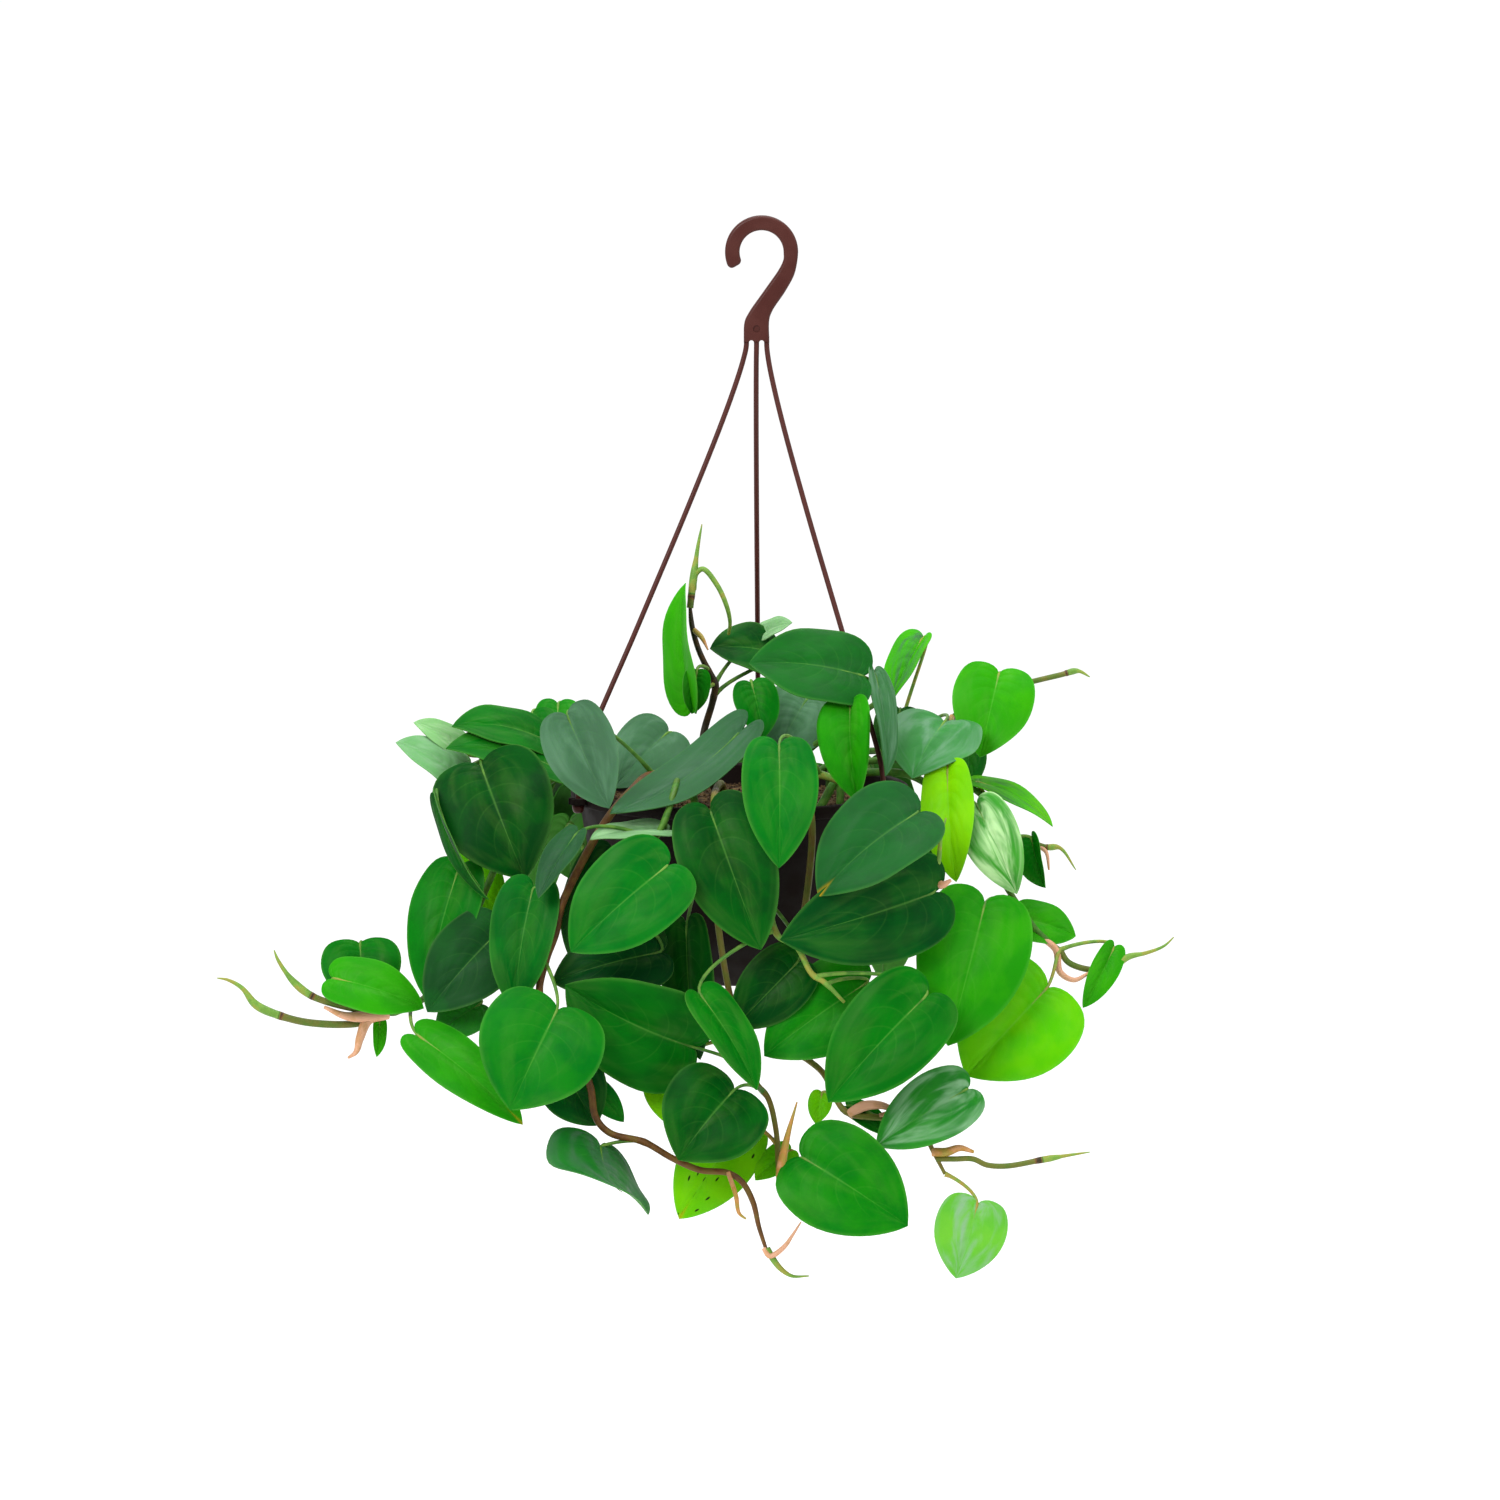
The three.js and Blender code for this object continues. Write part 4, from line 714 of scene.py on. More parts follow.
class Wiring:
    """Adds nodes to one node tree and joins them."""

    def __init__(self, tree: Tree) -> None:
        """Keeps the tree that the nodes go into."""
        self.tree = tree

    def feed(self, node: bpy.types.Node, inputs: dict[Any, Any]) -> None:
        """Joins each socket, or sets each value, on a node's named or numbered input.

        Args:
            node: the node.
            inputs: a value or an output socket for each input.
        """
        for key, value in inputs.items():
            if isinstance(value, Socket):
                self.tree.links.new(value, node.inputs[key])
            else:
                node.inputs[key].default_value = value

    def add(self, kind: str, inputs: dict[Any, Any] | None = None, **settings: Any) -> bpy.types.Node:
        """Adds one node.

        Args:
            kind: the node's type.
            inputs: a value or an output socket for each named or numbered input.
            settings: the node's own properties.

        Returns:
            The node.
        """
        node = self.tree.nodes.new(kind)
        for key, value in settings.items():
            setattr(node, key, value)
        self.feed(node, inputs or {})
        return node

    def math(self, operation: str, *values: Any) -> Socket:
        """Adds a Math node and gives its result."""
        return self.add("ShaderNodeMath", dict(enumerate(values)), operation=operation).outputs[0]

    def times(self, first: Any, second: Any) -> Socket:
        """Multiplies two values."""
        return self.math("MULTIPLY", first, second)

    def blend(self, share: Any, first: Any, second: Any) -> Socket:
        """Mixes two colours by a share and gives the result."""
        return self.add("ShaderNodeMix", {0: share, 6: first, 7: second}, data_type="RGBA").outputs[2]

    def noise(self, vector: Any, scale: Any, detail: float, distortion: float = 0.0) -> Socket:
        """Adds a noise texture and gives its value."""
        inputs = {"Vector": vector, "Scale": scale, "Detail": detail, "Distortion": distortion}
        return self.add("ShaderNodeTexNoise", inputs).outputs["Fac"]

    def spread(self, value: Any, low: float, high: float, to_low: float, to_high: float) -> Socket:
        """Maps a value smoothly from one range to another."""
        inputs = {0: value, 1: low, 2: high, 3: to_low, 4: to_high}
        return self.add("ShaderNodeMapRange", inputs, interpolation_type="SMOOTHSTEP").outputs[0]

    def rise(self, value: Any, low: float, high: float) -> Socket:
        """Maps a value smoothly to 0 below a range and 1 above it."""
        return self.spread(value, low, high, 0.0, 1.0)

    def fall(self, value: Any, low: float, high: float) -> Socket:
        """Maps a value smoothly to 1 below a range and 0 above it."""
        return self.spread(value, low, high, 1.0, 0.0)

    def about(self, share: Any, middle: float, reach: float) -> Socket:
        """Maps a share from 0 to 1 smoothly to as far on either side of a middle value."""
        return self.spread(share, 0.0, 1.0, middle - reach, middle + reach)

    def own(self, title: str) -> Socket:
        """Reads a value that the mesh carries."""
        return self.add("ShaderNodeAttribute", attribute_name=title).outputs["Fac"]

    def ramp(self, value: Any, stops: dict[float, Colour]) -> Socket:
        """Adds a colour ramp with a display colour at each stop and gives its colour.

        Args:
            value: the place on the ramp.
            stops: the colour at each place, from 0 to 1.

        Returns:
            The colour's socket.
        """
        node = self.add("ShaderNodeValToRGB", {0: value})
        elements = node.color_ramp.elements
        while len(elements) < len(stops):
            elements.new(0.5)
        for element, (place, colour) in zip(elements, stops.items()):
            element.position = place
            element.color = linear(*colour)
        return node.outputs[0]

    def bump(self, strength: float, distance: float, height: Any) -> Socket:
        """Turns a height into a bumpy normal, with its depth in metres."""
        inputs = {"Strength": strength, "Distance": distance, "Height": height}
        return self.add("ShaderNodeBump", inputs).outputs["Normal"]


class Skin(Wiring):
    """The wiring of one new material, round its Principled BSDF."""

    def __init__(self, name: str) -> None:
        """Makes the material with nothing joined to its shader yet.

        Args:
            name: the material's name.
        """
        self.material = bpy.data.materials.new(name)
        self.material.use_nodes = True
        super().__init__(self.material.node_tree)

    def effect(self, tree: Tree, inputs: dict[str, Any]) -> Any:
        """Adds a shared effect and gives its outputs."""
        return self.add("ShaderNodeGroup", inputs, node_tree=tree).outputs

    def finished(self, inputs: dict[str, Any]) -> Material:
        """Feeds the shader's inputs and gives the material."""
        self.feed(self.tree.nodes["Principled BSDF"], inputs)
        return self.material


class Shaper(Wiring):
    """A geometry node tree with named inputs that works on one piece at a time."""

    def __init__(self, name: str, inputs: dict[str, str]) -> None:
        """Makes the tree's inputs and output.

        Args:
            name: the tree's name.
            inputs: the kind of each input after the geometry, by its name.
        """
        super().__init__(bpy.data.node_groups.new(name, "GeometryNodeTree"))
        make = self.tree.interface.new_socket
        make("Geometry", in_out="INPUT", socket_type="NodeSocketGeometry")
        self.sockets = {}
        for title, kind in inputs.items():
            self.sockets[title] = make(title, in_out="INPUT", socket_type=f"NodeSocket{kind}").identifier
        make("Geometry", in_out="OUTPUT", socket_type="NodeSocketGeometry")
        self.given = self.add("NodeGroupInput").outputs

    def end(self, geometry: Socket) -> None:
        """Ends the tree with real meshes that wear its finish.

        Args:
            geometry: the socket of what the tree has made.
        """
        real = self.add("GeometryNodeRealizeInstances", {"Geometry": geometry})
        worn = {"Geometry": real.outputs["Geometry"], "Material": self.given["Finish"]}
        dressed = self.add("GeometryNodeSetMaterial", worn)
        self.add("NodeGroupOutput", {"Geometry": dressed.outputs["Geometry"]})

    def run(self, piece: Piece, values: dict[str, Any]) -> Piece:
        """Runs a piece through the tree with a value for each named input.

        Args:
            piece: the piece that goes in.
            values: the value of each input, by its name.

        Returns:
            The same piece as a plain mesh object.
        """
        modifier = piece.modifiers.new(self.tree.name, "NODES")
        modifier.node_group = self.tree
        for title, value in values.items():
            modifier[self.sockets[title]] = value
        return evaluated(piece)


def new_group(name: str, inputs: list[tuple[str, str, Any]], outputs: list[str]) -> tuple[Wiring, Any]:
    """Makes a shader node group.

    Args:
        name: the group's name.
        inputs: the name, kind and first value of each input.
        outputs: the name of each output.

    Returns:
        The group's wiring and its input sockets.
    """
    tree = bpy.data.node_groups.new(name, "ShaderNodeTree")
    for title, kind, value in inputs:
        socket = tree.interface.new_socket(title, in_out="INPUT", socket_type=f"NodeSocket{kind}")
        if value is not None:
            socket.default_value = value
    for title in outputs:
        tree.interface.new_socket(title, in_out="OUTPUT", socket_type="NodeSocketFloat")
    wiring = Wiring(tree)
    return wiring, wiring.add("NodeGroupInput").outputs


@dataclass
class Effects:
    """The shader node groups that more than one finish uses, their sizes as shares of a blade."""

    side_veins: float = 9.0
    vein_sweep: float = 0.13
    vein_width: float = 0.07
    vein_fade: tuple[float, float] = (0.25, 0.95)
    quilt_width: float = 0.4
    midrib_width: float = 0.035
    margin_start: float = 0.93
    # The streaks that the leaves' painted sheen lies in, which their roughness follows too
    streaks_along: float = 3.0
    streaks_over: float = 6.0
    streaks_drift: float = 7.0
    streaks_range: tuple[float, float] = (0.38, 0.76)
    patches_range: tuple[float, float] = (0.3, 0.7)
    patches_detail: float = 4.0
    grain_detail: float = 2.0

    def __post_init__(self) -> None:
        """Builds each group once."""
        self.mottle = self.build_mottle()
        self.veins = self.build_veins()

    def build_mottle(self) -> Tree:
        """Builds the group that spreads a soft uneven tone and a fine grain over an object.

        Returns:
            The group's tree.
        """
        wiring, given = new_group(
            "mottle",
            [("Vector", "Vector", None), ("Patch Scale", "Float", 40.0), ("Grain Scale", "Float", 600.0)],
            ["Patches", "Grain"],
        )
        patches = wiring.noise(given["Vector"], given["Patch Scale"], self.patches_detail)
        grain = wiring.noise(given["Vector"], given["Grain Scale"], self.grain_detail)
        wiring.add("NodeGroupOutput", {"Patches": wiring.rise(patches, *self.patches_range), "Grain": grain})
        return wiring.tree

    def build_veins(self) -> Tree:
        """Builds the group that draws a blade's midrib, side veins and the streaks of its painted sheen from
        its own map.

        Returns:
            The group's tree.
        """
        wiring, given = new_group(
            "veins",
            [("Map", "Vector", None), ("Side Veins", "Float", self.side_veins), ("Offset", "Float", 0.0)],
            ["Midrib", "Side", "Quilt", "Margin", "Streaks"],
        )
        along, over, _ = wiring.add("ShaderNodeSeparateXYZ", {0: given["Map"]}).outputs
        out = wiring.math("ABSOLUTE", wiring.math("SUBTRACT", wiring.times(over, 2.0), 1.0))
        sweep = wiring.math("MULTIPLY_ADD", wiring.times(out, out), -self.vein_sweep, along)
        turns = wiring.math("FRACT", wiring.times(sweep, given["Side Veins"]))
        away = wiring.math("ABSOLUTE", wiring.math("SUBTRACT", turns, 0.5))
        fade = wiring.fall(out, *self.vein_fade)
        drift = wiring.times(given["Offset"], self.streaks_drift)
        shifted = wiring.math("MULTIPLY_ADD", along, self.streaks_along, drift)
        lie = {0: shifted, 1: wiring.times(over, self.streaks_over), 2: drift}
        brush = wiring.noise(wiring.add("ShaderNodeCombineXYZ", lie).outputs[0], 1.0, 3.0, 0.5)
        drawn = {
            "Midrib": wiring.fall(out, 0.0, self.midrib_width),
            "Side": wiring.times(wiring.fall(away, 0.0, self.vein_width), fade),
            "Quilt": wiring.times(wiring.rise(away, 0.0, self.quilt_width), fade),
            "Margin": wiring.rise(out, self.margin_start, 1.0),
            "Streaks": wiring.rise(brush, *self.streaks_range),
        }
        wiring.add("NodeGroupOutput", drawn)
        return wiring.tree


@dataclass(frozen=True)
class FoliageFinish:
    """Glossy heart-shaped leaves, from old dark green to young lime by each leaf's youth, with a pale sheen
    painted into their colour.
    """

    name: str
    old: Colour
    mid: Colour
    young: Colour
    lime: Colour
    rib: Colour = (105, 170, 70)
    rib_share: float = 0.16
    vein_share: float = 0.035
    margin_share: float = 0.1
    # How the painted sheen lies: faint streaks of it on every leaf, and how evenly or in streaks it covers a
    # leaf
    sheen_streak_gain: float = 0.07
    even_cover: float = 0.62
    patchy_loss: float = 0.58
    underside: Colour = (85, 135, 60)
    underside_share: float = 0.35
    underside_dulling: float = 0.18
    dot: Colour = (20, 30, 4)
    dot_scale: float = 5.0
    dot_edge: tuple[float, float] = (0.05, 0.09)
    yellow: Colour = (150, 120, 10)
    yellow_from: tuple[float, float] = (0.9, 0.99)
    roughness: float = 0.4
    roughness_swing: float = 0.06
    patch_swing: float = 0.04
    tint_swing: float = 0.05
    shine: float = 0.03
    relief: tuple[float, float] = (0.3, 0.0006)
    grain_height: float = 0.15
    glow_share: float = 0.06
    glow_reach: Reach = (0.3, 1.0, 0.1)
    glow_depth: float = 0.002
    patch_scale: float = 55.0
    grain_scale: float = 900.0

    def colour(self, skin: Skin, veins: Any, patches: Socket) -> Socket:
        """Works out the blade's colour, with its painted sheen but without its dots and yellow tip.

        Args:
            skin: the material under way.
            veins: the outputs with the midrib, veins and the streaks of the painted sheen.
            patches: the uneven tone.

        Returns:
            The colour's socket.
        """
        uneven = skin.math("ADD", skin.own("youth"), skin.about(patches, 0.0, self.patch_swing))
        age = skin.math("ADD", uneven, skin.times(skin.own("tint"), self.tint_swing))
        colour = skin.ramp(age, {0.0: self.old, 0.3: self.mid, 0.65: self.young, 1.0: self.lime})
        pale = {"Midrib": self.rib_share, "Side": self.vein_share, "Margin": self.margin_share}
        for title, share in pale.items():
            colour = skin.blend(skin.times(veins[title], share), colour, linear(*self.rib))
        # Painted sheen: a pale grey-green reflection painted into the colour, as strong as the leaf's own
        # value and partly in streaks, with faint streaks of it on every leaf
        painted_sheen = skin.own("painted_sheen")
        ground = skin.math("MULTIPLY_ADD", skin.own("patchy"), -self.patchy_loss, self.even_cover)
        gain = skin.math("SUBTRACT", 1.0, ground)
        brushed = skin.math("MULTIPLY_ADD", veins["Streaks"], gain, ground)
        cover = skin.times(skin.rise(painted_sheen, 0.0, 0.5), brushed)
        light = skin.math("MULTIPLY_ADD", veins["Streaks"], self.sheen_streak_gain, cover)
        with_painted_sheen = skin.blend(light, colour, skin.ramp(painted_sheen, PAINTED_SHEEN_TONES))
        share = skin.times(skin.own("under"), self.underside_share)
        return skin.blend(share, with_painted_sheen, linear(*self.underside))

    def build(self, effects: Effects) -> Material:
        """Builds the leaf material.

        Args:
            effects: the shared node groups.

        Returns:
            The material.
        """
        skin = Skin(self.name)
        place = skin.add("ShaderNodeTexCoord").outputs
        veins = skin.effect(effects.veins, {"Map": place["UV"], "Offset": skin.own("tint")})
        scales = {"Patch Scale": self.patch_scale, "Grain Scale": self.grain_scale}
        mottle = skin.effect(effects.mottle, {"Vector": place["Object"], **scales})
        spots = {"Vector": place["UV"], "Scale": self.dot_scale}
        cells = skin.add("ShaderNodeTexVoronoi", spots, voronoi_dimensions="2D")
        dots = skin.times(skin.fall(cells.outputs["Distance"], *self.dot_edge), skin.own("dots"))
        dotty = skin.blend(dots, self.colour(skin, veins, mottle["Patches"]), linear(*self.dot))
        share = skin.add("ShaderNodeSeparateXYZ", {0: place["UV"]}).outputs[0]
        tip = skin.times(skin.rise(share, *self.yellow_from), skin.own("turning"))
        rough = skin.about(veins["Streaks"], self.roughness, -self.roughness_swing)
        height = skin.math("MULTIPLY_ADD", mottle["Grain"], self.grain_height, veins["Quilt"])
        return skin.finished(
            {
                "Base Color": skin.blend(tip, dotty, linear(*self.yellow)),
                "Roughness": skin.math("MULTIPLY_ADD", skin.own("under"), self.underside_dulling, rough),
                "Specular IOR Level": self.shine,
                "Normal": skin.bump(*self.relief, height),
                "Subsurface Weight": self.glow_share,
                "Subsurface Radius": self.glow_reach,
                "Subsurface Scale": self.glow_depth,
            }
        )


@dataclass(frozen=True)
class PlainFinish:
    """What the finishes without leaf veins share: their scales, shine, roughness and fine relief."""

    name: str
    patch_scale: float
    grain_scale: float
    shine: float
    roughness: tuple[float, float]
    relief: tuple[float, float]

    def colour(self, skin: Skin, patches: Socket) -> Socket:
        """Works out the colour from the uneven tone."""
        raise NotImplementedError

    def build(self, effects: Effects) -> Material:
        """Builds the material.

        Args:
            effects: the shared node groups.

        Returns:
            The material.
        """
        skin = Skin(self.name)
        place = skin.add("ShaderNodeTexCoord").outputs["Object"]
        scales = {"Patch Scale": self.patch_scale, "Grain Scale": self.grain_scale}
        mottle = skin.effect(effects.mottle, {"Vector": place, **scales})
        low, high = self.roughness
        return skin.finished(
            {
                "Base Color": self.colour(skin, mottle["Patches"]),
                "Roughness": low if low == high else skin.spread(mottle["Patches"], 0.0, 1.0, low, high),
                "Specular IOR Level": self.shine,
                "Normal": skin.bump(*self.relief, mottle["Grain"]),
            }
        )


@dataclass(frozen=True)
class StemFinish(PlainFinish):
    """Stems, leaf stalks, sheaths and aerial roots, coloured by their own tone."""

    name: str = "stem_skin"
    patch_scale: float = 160.0
    grain_scale: float = 1500.0
    shine: float = 0.2
    roughness: tuple[float, float] = (0.42, 0.62)
    relief: tuple[float, float] = (0.4, 0.0004)
    patch_swing: float = 0.06

    def colour(self, skin: Skin, patches: Socket) -> Socket:
        """Gives each tone its colour, a little uneven along the stem."""
        uneven = skin.math("ADD", skin.own("tone"), skin.about(patches, 0.0, self.patch_swing))
        return skin.ramp(uneven, STEM_COLOURS)


@dataclass(frozen=True)
class PlasticFinish(PlainFinish):
    """Moulded plastic with faint flow marks, scuffs and a little dust."""

    patch_scale: float = 70.0
    grain_scale: float = 1300.0
    shine: float = 0.15
    roughness: tuple[float, float] = (0.35, 0.55)
    relief: tuple[float, float] = (0.12, 0.0003)
    clean: Colour = (54, 20, 15)
    worn: Colour = (70, 32, 25)
    scuffs: float = 0.35

    def colour(self, skin: Skin, patches: Socket) -> Socket:
        """Lets the worn colour show through in patches."""
        return skin.blend(skin.times(patches, self.scuffs), linear(*self.clean), linear(*self.worn))


@dataclass(frozen=True)
class MixFinish(PlainFinish):
    """Crumbly potting mix of dark and straw-coloured bits."""

    name: str = "crumbly_mix"
    patch_scale: float = 240.0
    grain_scale: float = 900.0
    shine: float = 0.1
    roughness: tuple[float, float] = (0.95, 0.95)
    relief: tuple[float, float] = (0.8, 0.001)

    def colour(self, skin: Skin, patches: Socket) -> Socket:
        """Runs from damp dark bits to dry straw-coloured ones."""
        bits = skin.math("ADD", skin.times(patches, 0.6), 0.2)
        return skin.ramp(bits, MIX_TONES)


@dataclass
class Strand:
    """One round stretch of stem or plastic: its points, its radius at each, and its tone."""

    points: np.ndarray
    radii: np.ndarray
    tone: np.ndarray | float = 0.0


class RoundStock(Shaper):
    """Turns rows of points into round stems and rods."""

    def __init__(self) -> None:
        """Builds the tree once."""
        super().__init__("round_stock", {"Sides": "Int", "Finish": "Material"})
        radius = self.add("GeometryNodeInputNamedAttribute", {"Name": "thickness"}, data_type="FLOAT")
        line = self.add("GeometryNodeMeshToCurve", {"Mesh": self.given["Geometry"]})
        round_form = {"Resolution": self.given["Sides"], "Radius": 1.0}
        ring = self.add("GeometryNodeCurvePrimitiveCircle", round_form)
        sweep = {
            "Curve": line.outputs["Curve"],
            "Profile Curve": ring.outputs["Curve"],
            "Scale": radius.outputs["Attribute"],
            "Fill Caps": True,
        }
        rod = self.add("GeometryNodeCurveToMesh", sweep)
        even = self.add("GeometryNodeSetShadeSmooth", {"Geometry": rod.outputs["Mesh"]})
        self.end(even.outputs["Geometry"])

    def make(self, name: str, strands: list[Strand], sides: int, finish: Material) -> Piece:
        """Makes one piece of round stock.

        Args:
            name: the piece's name.
            strands: its stretches.
            sides: how many sides it has round.
            finish: its material.

        Returns:
            The plain mesh object.
        """
        points = np.concatenate([strand.points for strand in strands]) * MM
        mesh = bpy.data.meshes.new(name)
        edges: list[tuple[int, int]] = []
        first = 0
        for strand in strands:
            edges += [(first + i, first + i + 1) for i in range(len(strand.points) - 1)]
            first += len(strand.points)
        mesh.from_pydata(points.tolist(), edges, [])
        thickness = mesh.attributes.new("thickness", "FLOAT", "POINT")
        thickness.data.foreach_set("value", np.concatenate([strand.radii for strand in strands]) * MM)
        tone = mesh.attributes.new("tone", "FLOAT", "POINT")
        tones = [np.broadcast_to(strand.tone, len(strand.points)) for strand in strands]
        tone.data.foreach_set("value", np.concatenate(tones))
        return self.run(linked(name, mesh), {"Sides": sides, "Finish": finish})


@dataclass
class Lathe:
    """Makes closed turned forms round the pot's axis."""

    sides: int = 96

    def rings(self, profile: list[tuple[float, float]], x: float, y: float, z: float) -> tuple:
        """Turns a profile that starts and ends on the axis.

        Args:
            profile: radius and height of each point, from below the form round its outside.
            x: the axis's place across.
            y: the axis's place in depth.
            z: the height that the profile counts from.

        Returns:
            The points and the faces, facing outwards.
        """
        points = [(x, y, z + profile[0][1])]
        for radius, height in profile[1:-1]:
            for k in range(self.sides):
                a = 2 * math.pi * k / self.sides
                points.append((x + radius * math.cos(a), y + radius * math.sin(a), z + height))
        points.append((x, y, z + profile[-1][1]))
        faces: list[tuple[int, ...]] = []
        last = len(points) - 1
        rows = len(profile) - 2
        for k in range(self.sides):
            n = (k + 1) % self.sides
            faces.append((0, 1 + n, 1 + k))
            for row in range(rows - 1):
                a, b = 1 + row * self.sides, 1 + (row + 1) * self.sides
                faces.append((a + k, a + n, b + n, b + k))
            top = 1 + (rows - 1) * self.sides
            faces.append((top + k, top + n, last))
        return np.array(points), faces


def bowl_radius(height: float) -> float:
    """Gives the outer radius of the bowl at a height below the rim.

    Args:
        height: the height from the rim, below zero inside the bowl.

    Returns:
        The radius.
    """
    t = np.linspace(0, 1, 201)
    belly, belly_height = BOWL_BELLY
    heights = (1 - t) ** 2 * -POT_HEIGHT + 2 * (1 - t) * t * belly_height
    radii = (1 - t) ** 2 * BASE_RADIUS + 2 * (1 - t) * t * belly + t**2 * (RIM_RADIUS - RIM_LIP)
    return float(np.interp(height, heights, radii))


def soil_height(radius: float) -> float:
    """Gives the height of the crowned soil at a radius, counted from the rim."""
    edge = bowl_radius(-SOIL_BELOW_RIM)
    return -SOIL_BELOW_RIM + SOIL_CROWN * (1 - (radius / edge) ** 2)


def cut(piece: Piece, tools: list[Piece]) -> Piece:
    """Cuts tool shapes out of a piece and removes the tools.

    Args:
        piece: the piece to cut.
        tools: the shapes to take away.

    Returns:
        The same piece as a plain mesh object.
    """
    for number, tool in enumerate(tools):
        modifier = piece.modifiers.new(f"cut_{number}", "BOOLEAN")
        modifier.operation = "DIFFERENCE"
        modifier.solver = "EXACT"
        modifier.object = tool
    made = evaluated(piece)
    for tool in tools:
        bpy.data.objects.remove(tool, do_unlink=True)
    return made


def cylinder(name: str, radius: float, height: float, middle: Any, sides: int = 24) -> Piece:
    """Makes an upright cylinder round a middle point.

    Args:
        name: the object's name.
        radius: its radius.
        height: its full height.
        middle: its middle point.
        sides: how many sides it has round.

    Returns:
        The object, linked to the scene.
    """
    shape = bmesh.new()
    bmesh.ops.create_cone(
        shape, cap_ends=True, segments=sides, radius1=radius, radius2=radius, depth=height
    )
    bmesh.ops.translate(shape, verts=shape.verts, vec=middle)
    return shape_object(name, shape)


@dataclass
class HangingPot:
    """The bowl-shaped pot with its rolled rim, drain holes and three lugs."""

    rim_depth: float = 6.0
    rim_round: float = 0.9
    drain_radius: float = 4.0
    drain_circle: float = 30.0
    drain_count: int = 6
    lug_radius: float = 4.8
    lug_height: float = 3.0
    lug_below_rim: float = 1.0
    lug_slot: float = 2.2
    foot_round: float = 1.4
    foot_height: float = 1.2
    inner_lip: float = 0.8
    wall_steps: int = 18
    drain_sides: int = 30
    lug_sides: int = 32
    lathe: Lathe = field(default_factory=lambda: Lathe(112))

    def profile(self) -> list[tuple[float, float]]:
        """Gives the pot's section from the middle of its underside up, over the rim and down inside.

        Returns:
            The radius and height of each point.
        """
        lip = RIM_RADIUS
        outside = np.linspace(-POT_HEIGHT + self.foot_height, -self.rim_depth, self.wall_steps)
        inside = np.linspace(-self.inner_lip, -POT_HEIGHT + POT_FLOOR, self.wall_steps)
        r = self.rim_round
        return [
            (0.0, -POT_HEIGHT),
            (BASE_RADIUS - self.foot_round, -POT_HEIGHT),
            (BASE_RADIUS - 0.4, -POT_HEIGHT + 0.3),
            *[(bowl_radius(h), h) for h in outside],
            (lip - r, -self.rim_depth),
            (lip - 0.3 * r, -self.rim_depth + 0.3 * r),
            (lip, -self.rim_depth + r),
            (lip, -r - 0.4),
            (lip - 0.3 * r, -0.3 * r - 0.1),
            (lip - r, 0.0),
            (bowl_radius(0) - POT_WALL + r, 0.0),
            *[(bowl_radius(h) - POT_WALL, h) for h in inside],
            (0.0, -POT_HEIGHT + POT_FLOOR),
        ]

    def lug(self, angle: float) -> Piece:
        """Makes one slotted lug at its place on the rim.

        Args:
            angle: its place round the pot, in degrees.

        Returns:
            The lug with its bore and its open mouth.
        """
        x, y = on_circle(LUG_CIRCLE, angle)
        middle = (POT_AXIS_X + x, y, -RIM_DROP - self.lug_below_rim - self.lug_height / 2)
        made = cylinder("lug", self.lug_radius, self.lug_height, middle, self.lug_sides)
        bore = cylinder("bore", STRAND_RADIUS + FIT_GAP, 3 * self.lug_height, middle)
        reach = self.lug_radius * 1.5
        shape = bmesh.new()
        bmesh.ops.create_cube(shape, size=1.0)
        bmesh.ops.scale(shape, verts=shape.verts, vec=(reach, self.lug_slot, 3 * self.lug_height))
        bmesh.ops.translate(shape, verts=shape.verts, vec=(reach / 2, 0, 0))
        turn = Matrix.Rotation(math.radians(angle), 3, "Z")
        bmesh.ops.rotate(shape, verts=shape.verts, cent=(0, 0, 0), matrix=turn)
        bmesh.ops.translate(shape, verts=shape.verts, vec=middle)
        return cut(made, [bore, shape_object("mouth", shape)])

    def build(self, finish: Material) -> None:
        """Builds the pot and puts it in place.

        Args:
            finish: the pot's plastic.
        """
        points, faces = self.lathe.rings(self.profile(), POT_AXIS_X, 0.0, -RIM_DROP)
        bowl = mesh_object("hanging_pot", points, faces)
        floor_middle = -RIM_DROP - POT_HEIGHT + POT_FLOOR / 2
        drains = []
        for i in range(self.drain_count):
            x, y = on_circle(self.drain_circle, 360 * i / self.drain_count)
            middle = (POT_AXIS_X + x, y, floor_middle)
            drains.append(cylinder("drain", self.drain_radius, 3 * POT_FLOOR, middle, self.drain_sides))
        bowl = cut(bowl, drains)
        smooth(bowl, POT_SMOOTHING)
        dress(bowl, finish, Slot.POT, "pot")
        for number, angle in enumerate(LUG_ANGLES):
            lug = self.lug(angle)
            lug.name = f"pot_lug_{number + 1}"
            smooth(lug, LUG_SMOOTHING)
            dress(lug, finish, Slot.POT, "pot")


class Crumbs(Shaper):
    """Scatters loose crumbs over a surface."""

    def __init__(self) -> None:
        """Builds the tree once."""
        inputs = {"Density": "Float", "Radius": "Float", "Seed": "Int", "Finish": "Material"}
        super().__init__("crumbs", inputs)
        given = self.given
        ground = {"Mesh": given["Geometry"], "Density": given["Density"], "Seed": given["Seed"]}
        spots = self.add("GeometryNodeDistributePointsOnFaces", ground)
        crumb = self.add("GeometryNodeMeshIcoSphere", {"Radius": given["Radius"], "Subdivisions": 2})
        scatter = {
            "Points": spots.outputs["Points"],
            "Instance": crumb.outputs["Mesh"],
            "Rotation": self.between((0, 0, 0), CRUMB_TURN),
            "Scale": self.between(*CRUMB_SCALES),
        }
        self.end(self.add("GeometryNodeInstanceOnPoints", scatter).outputs["Instances"])

    def between(self, low: Point, high: Point) -> Socket:
        """Adds a random vector between two others."""
        return self.add("FunctionNodeRandomValue", {0: low, 1: high}, data_type="FLOAT_VECTOR").outputs[0]


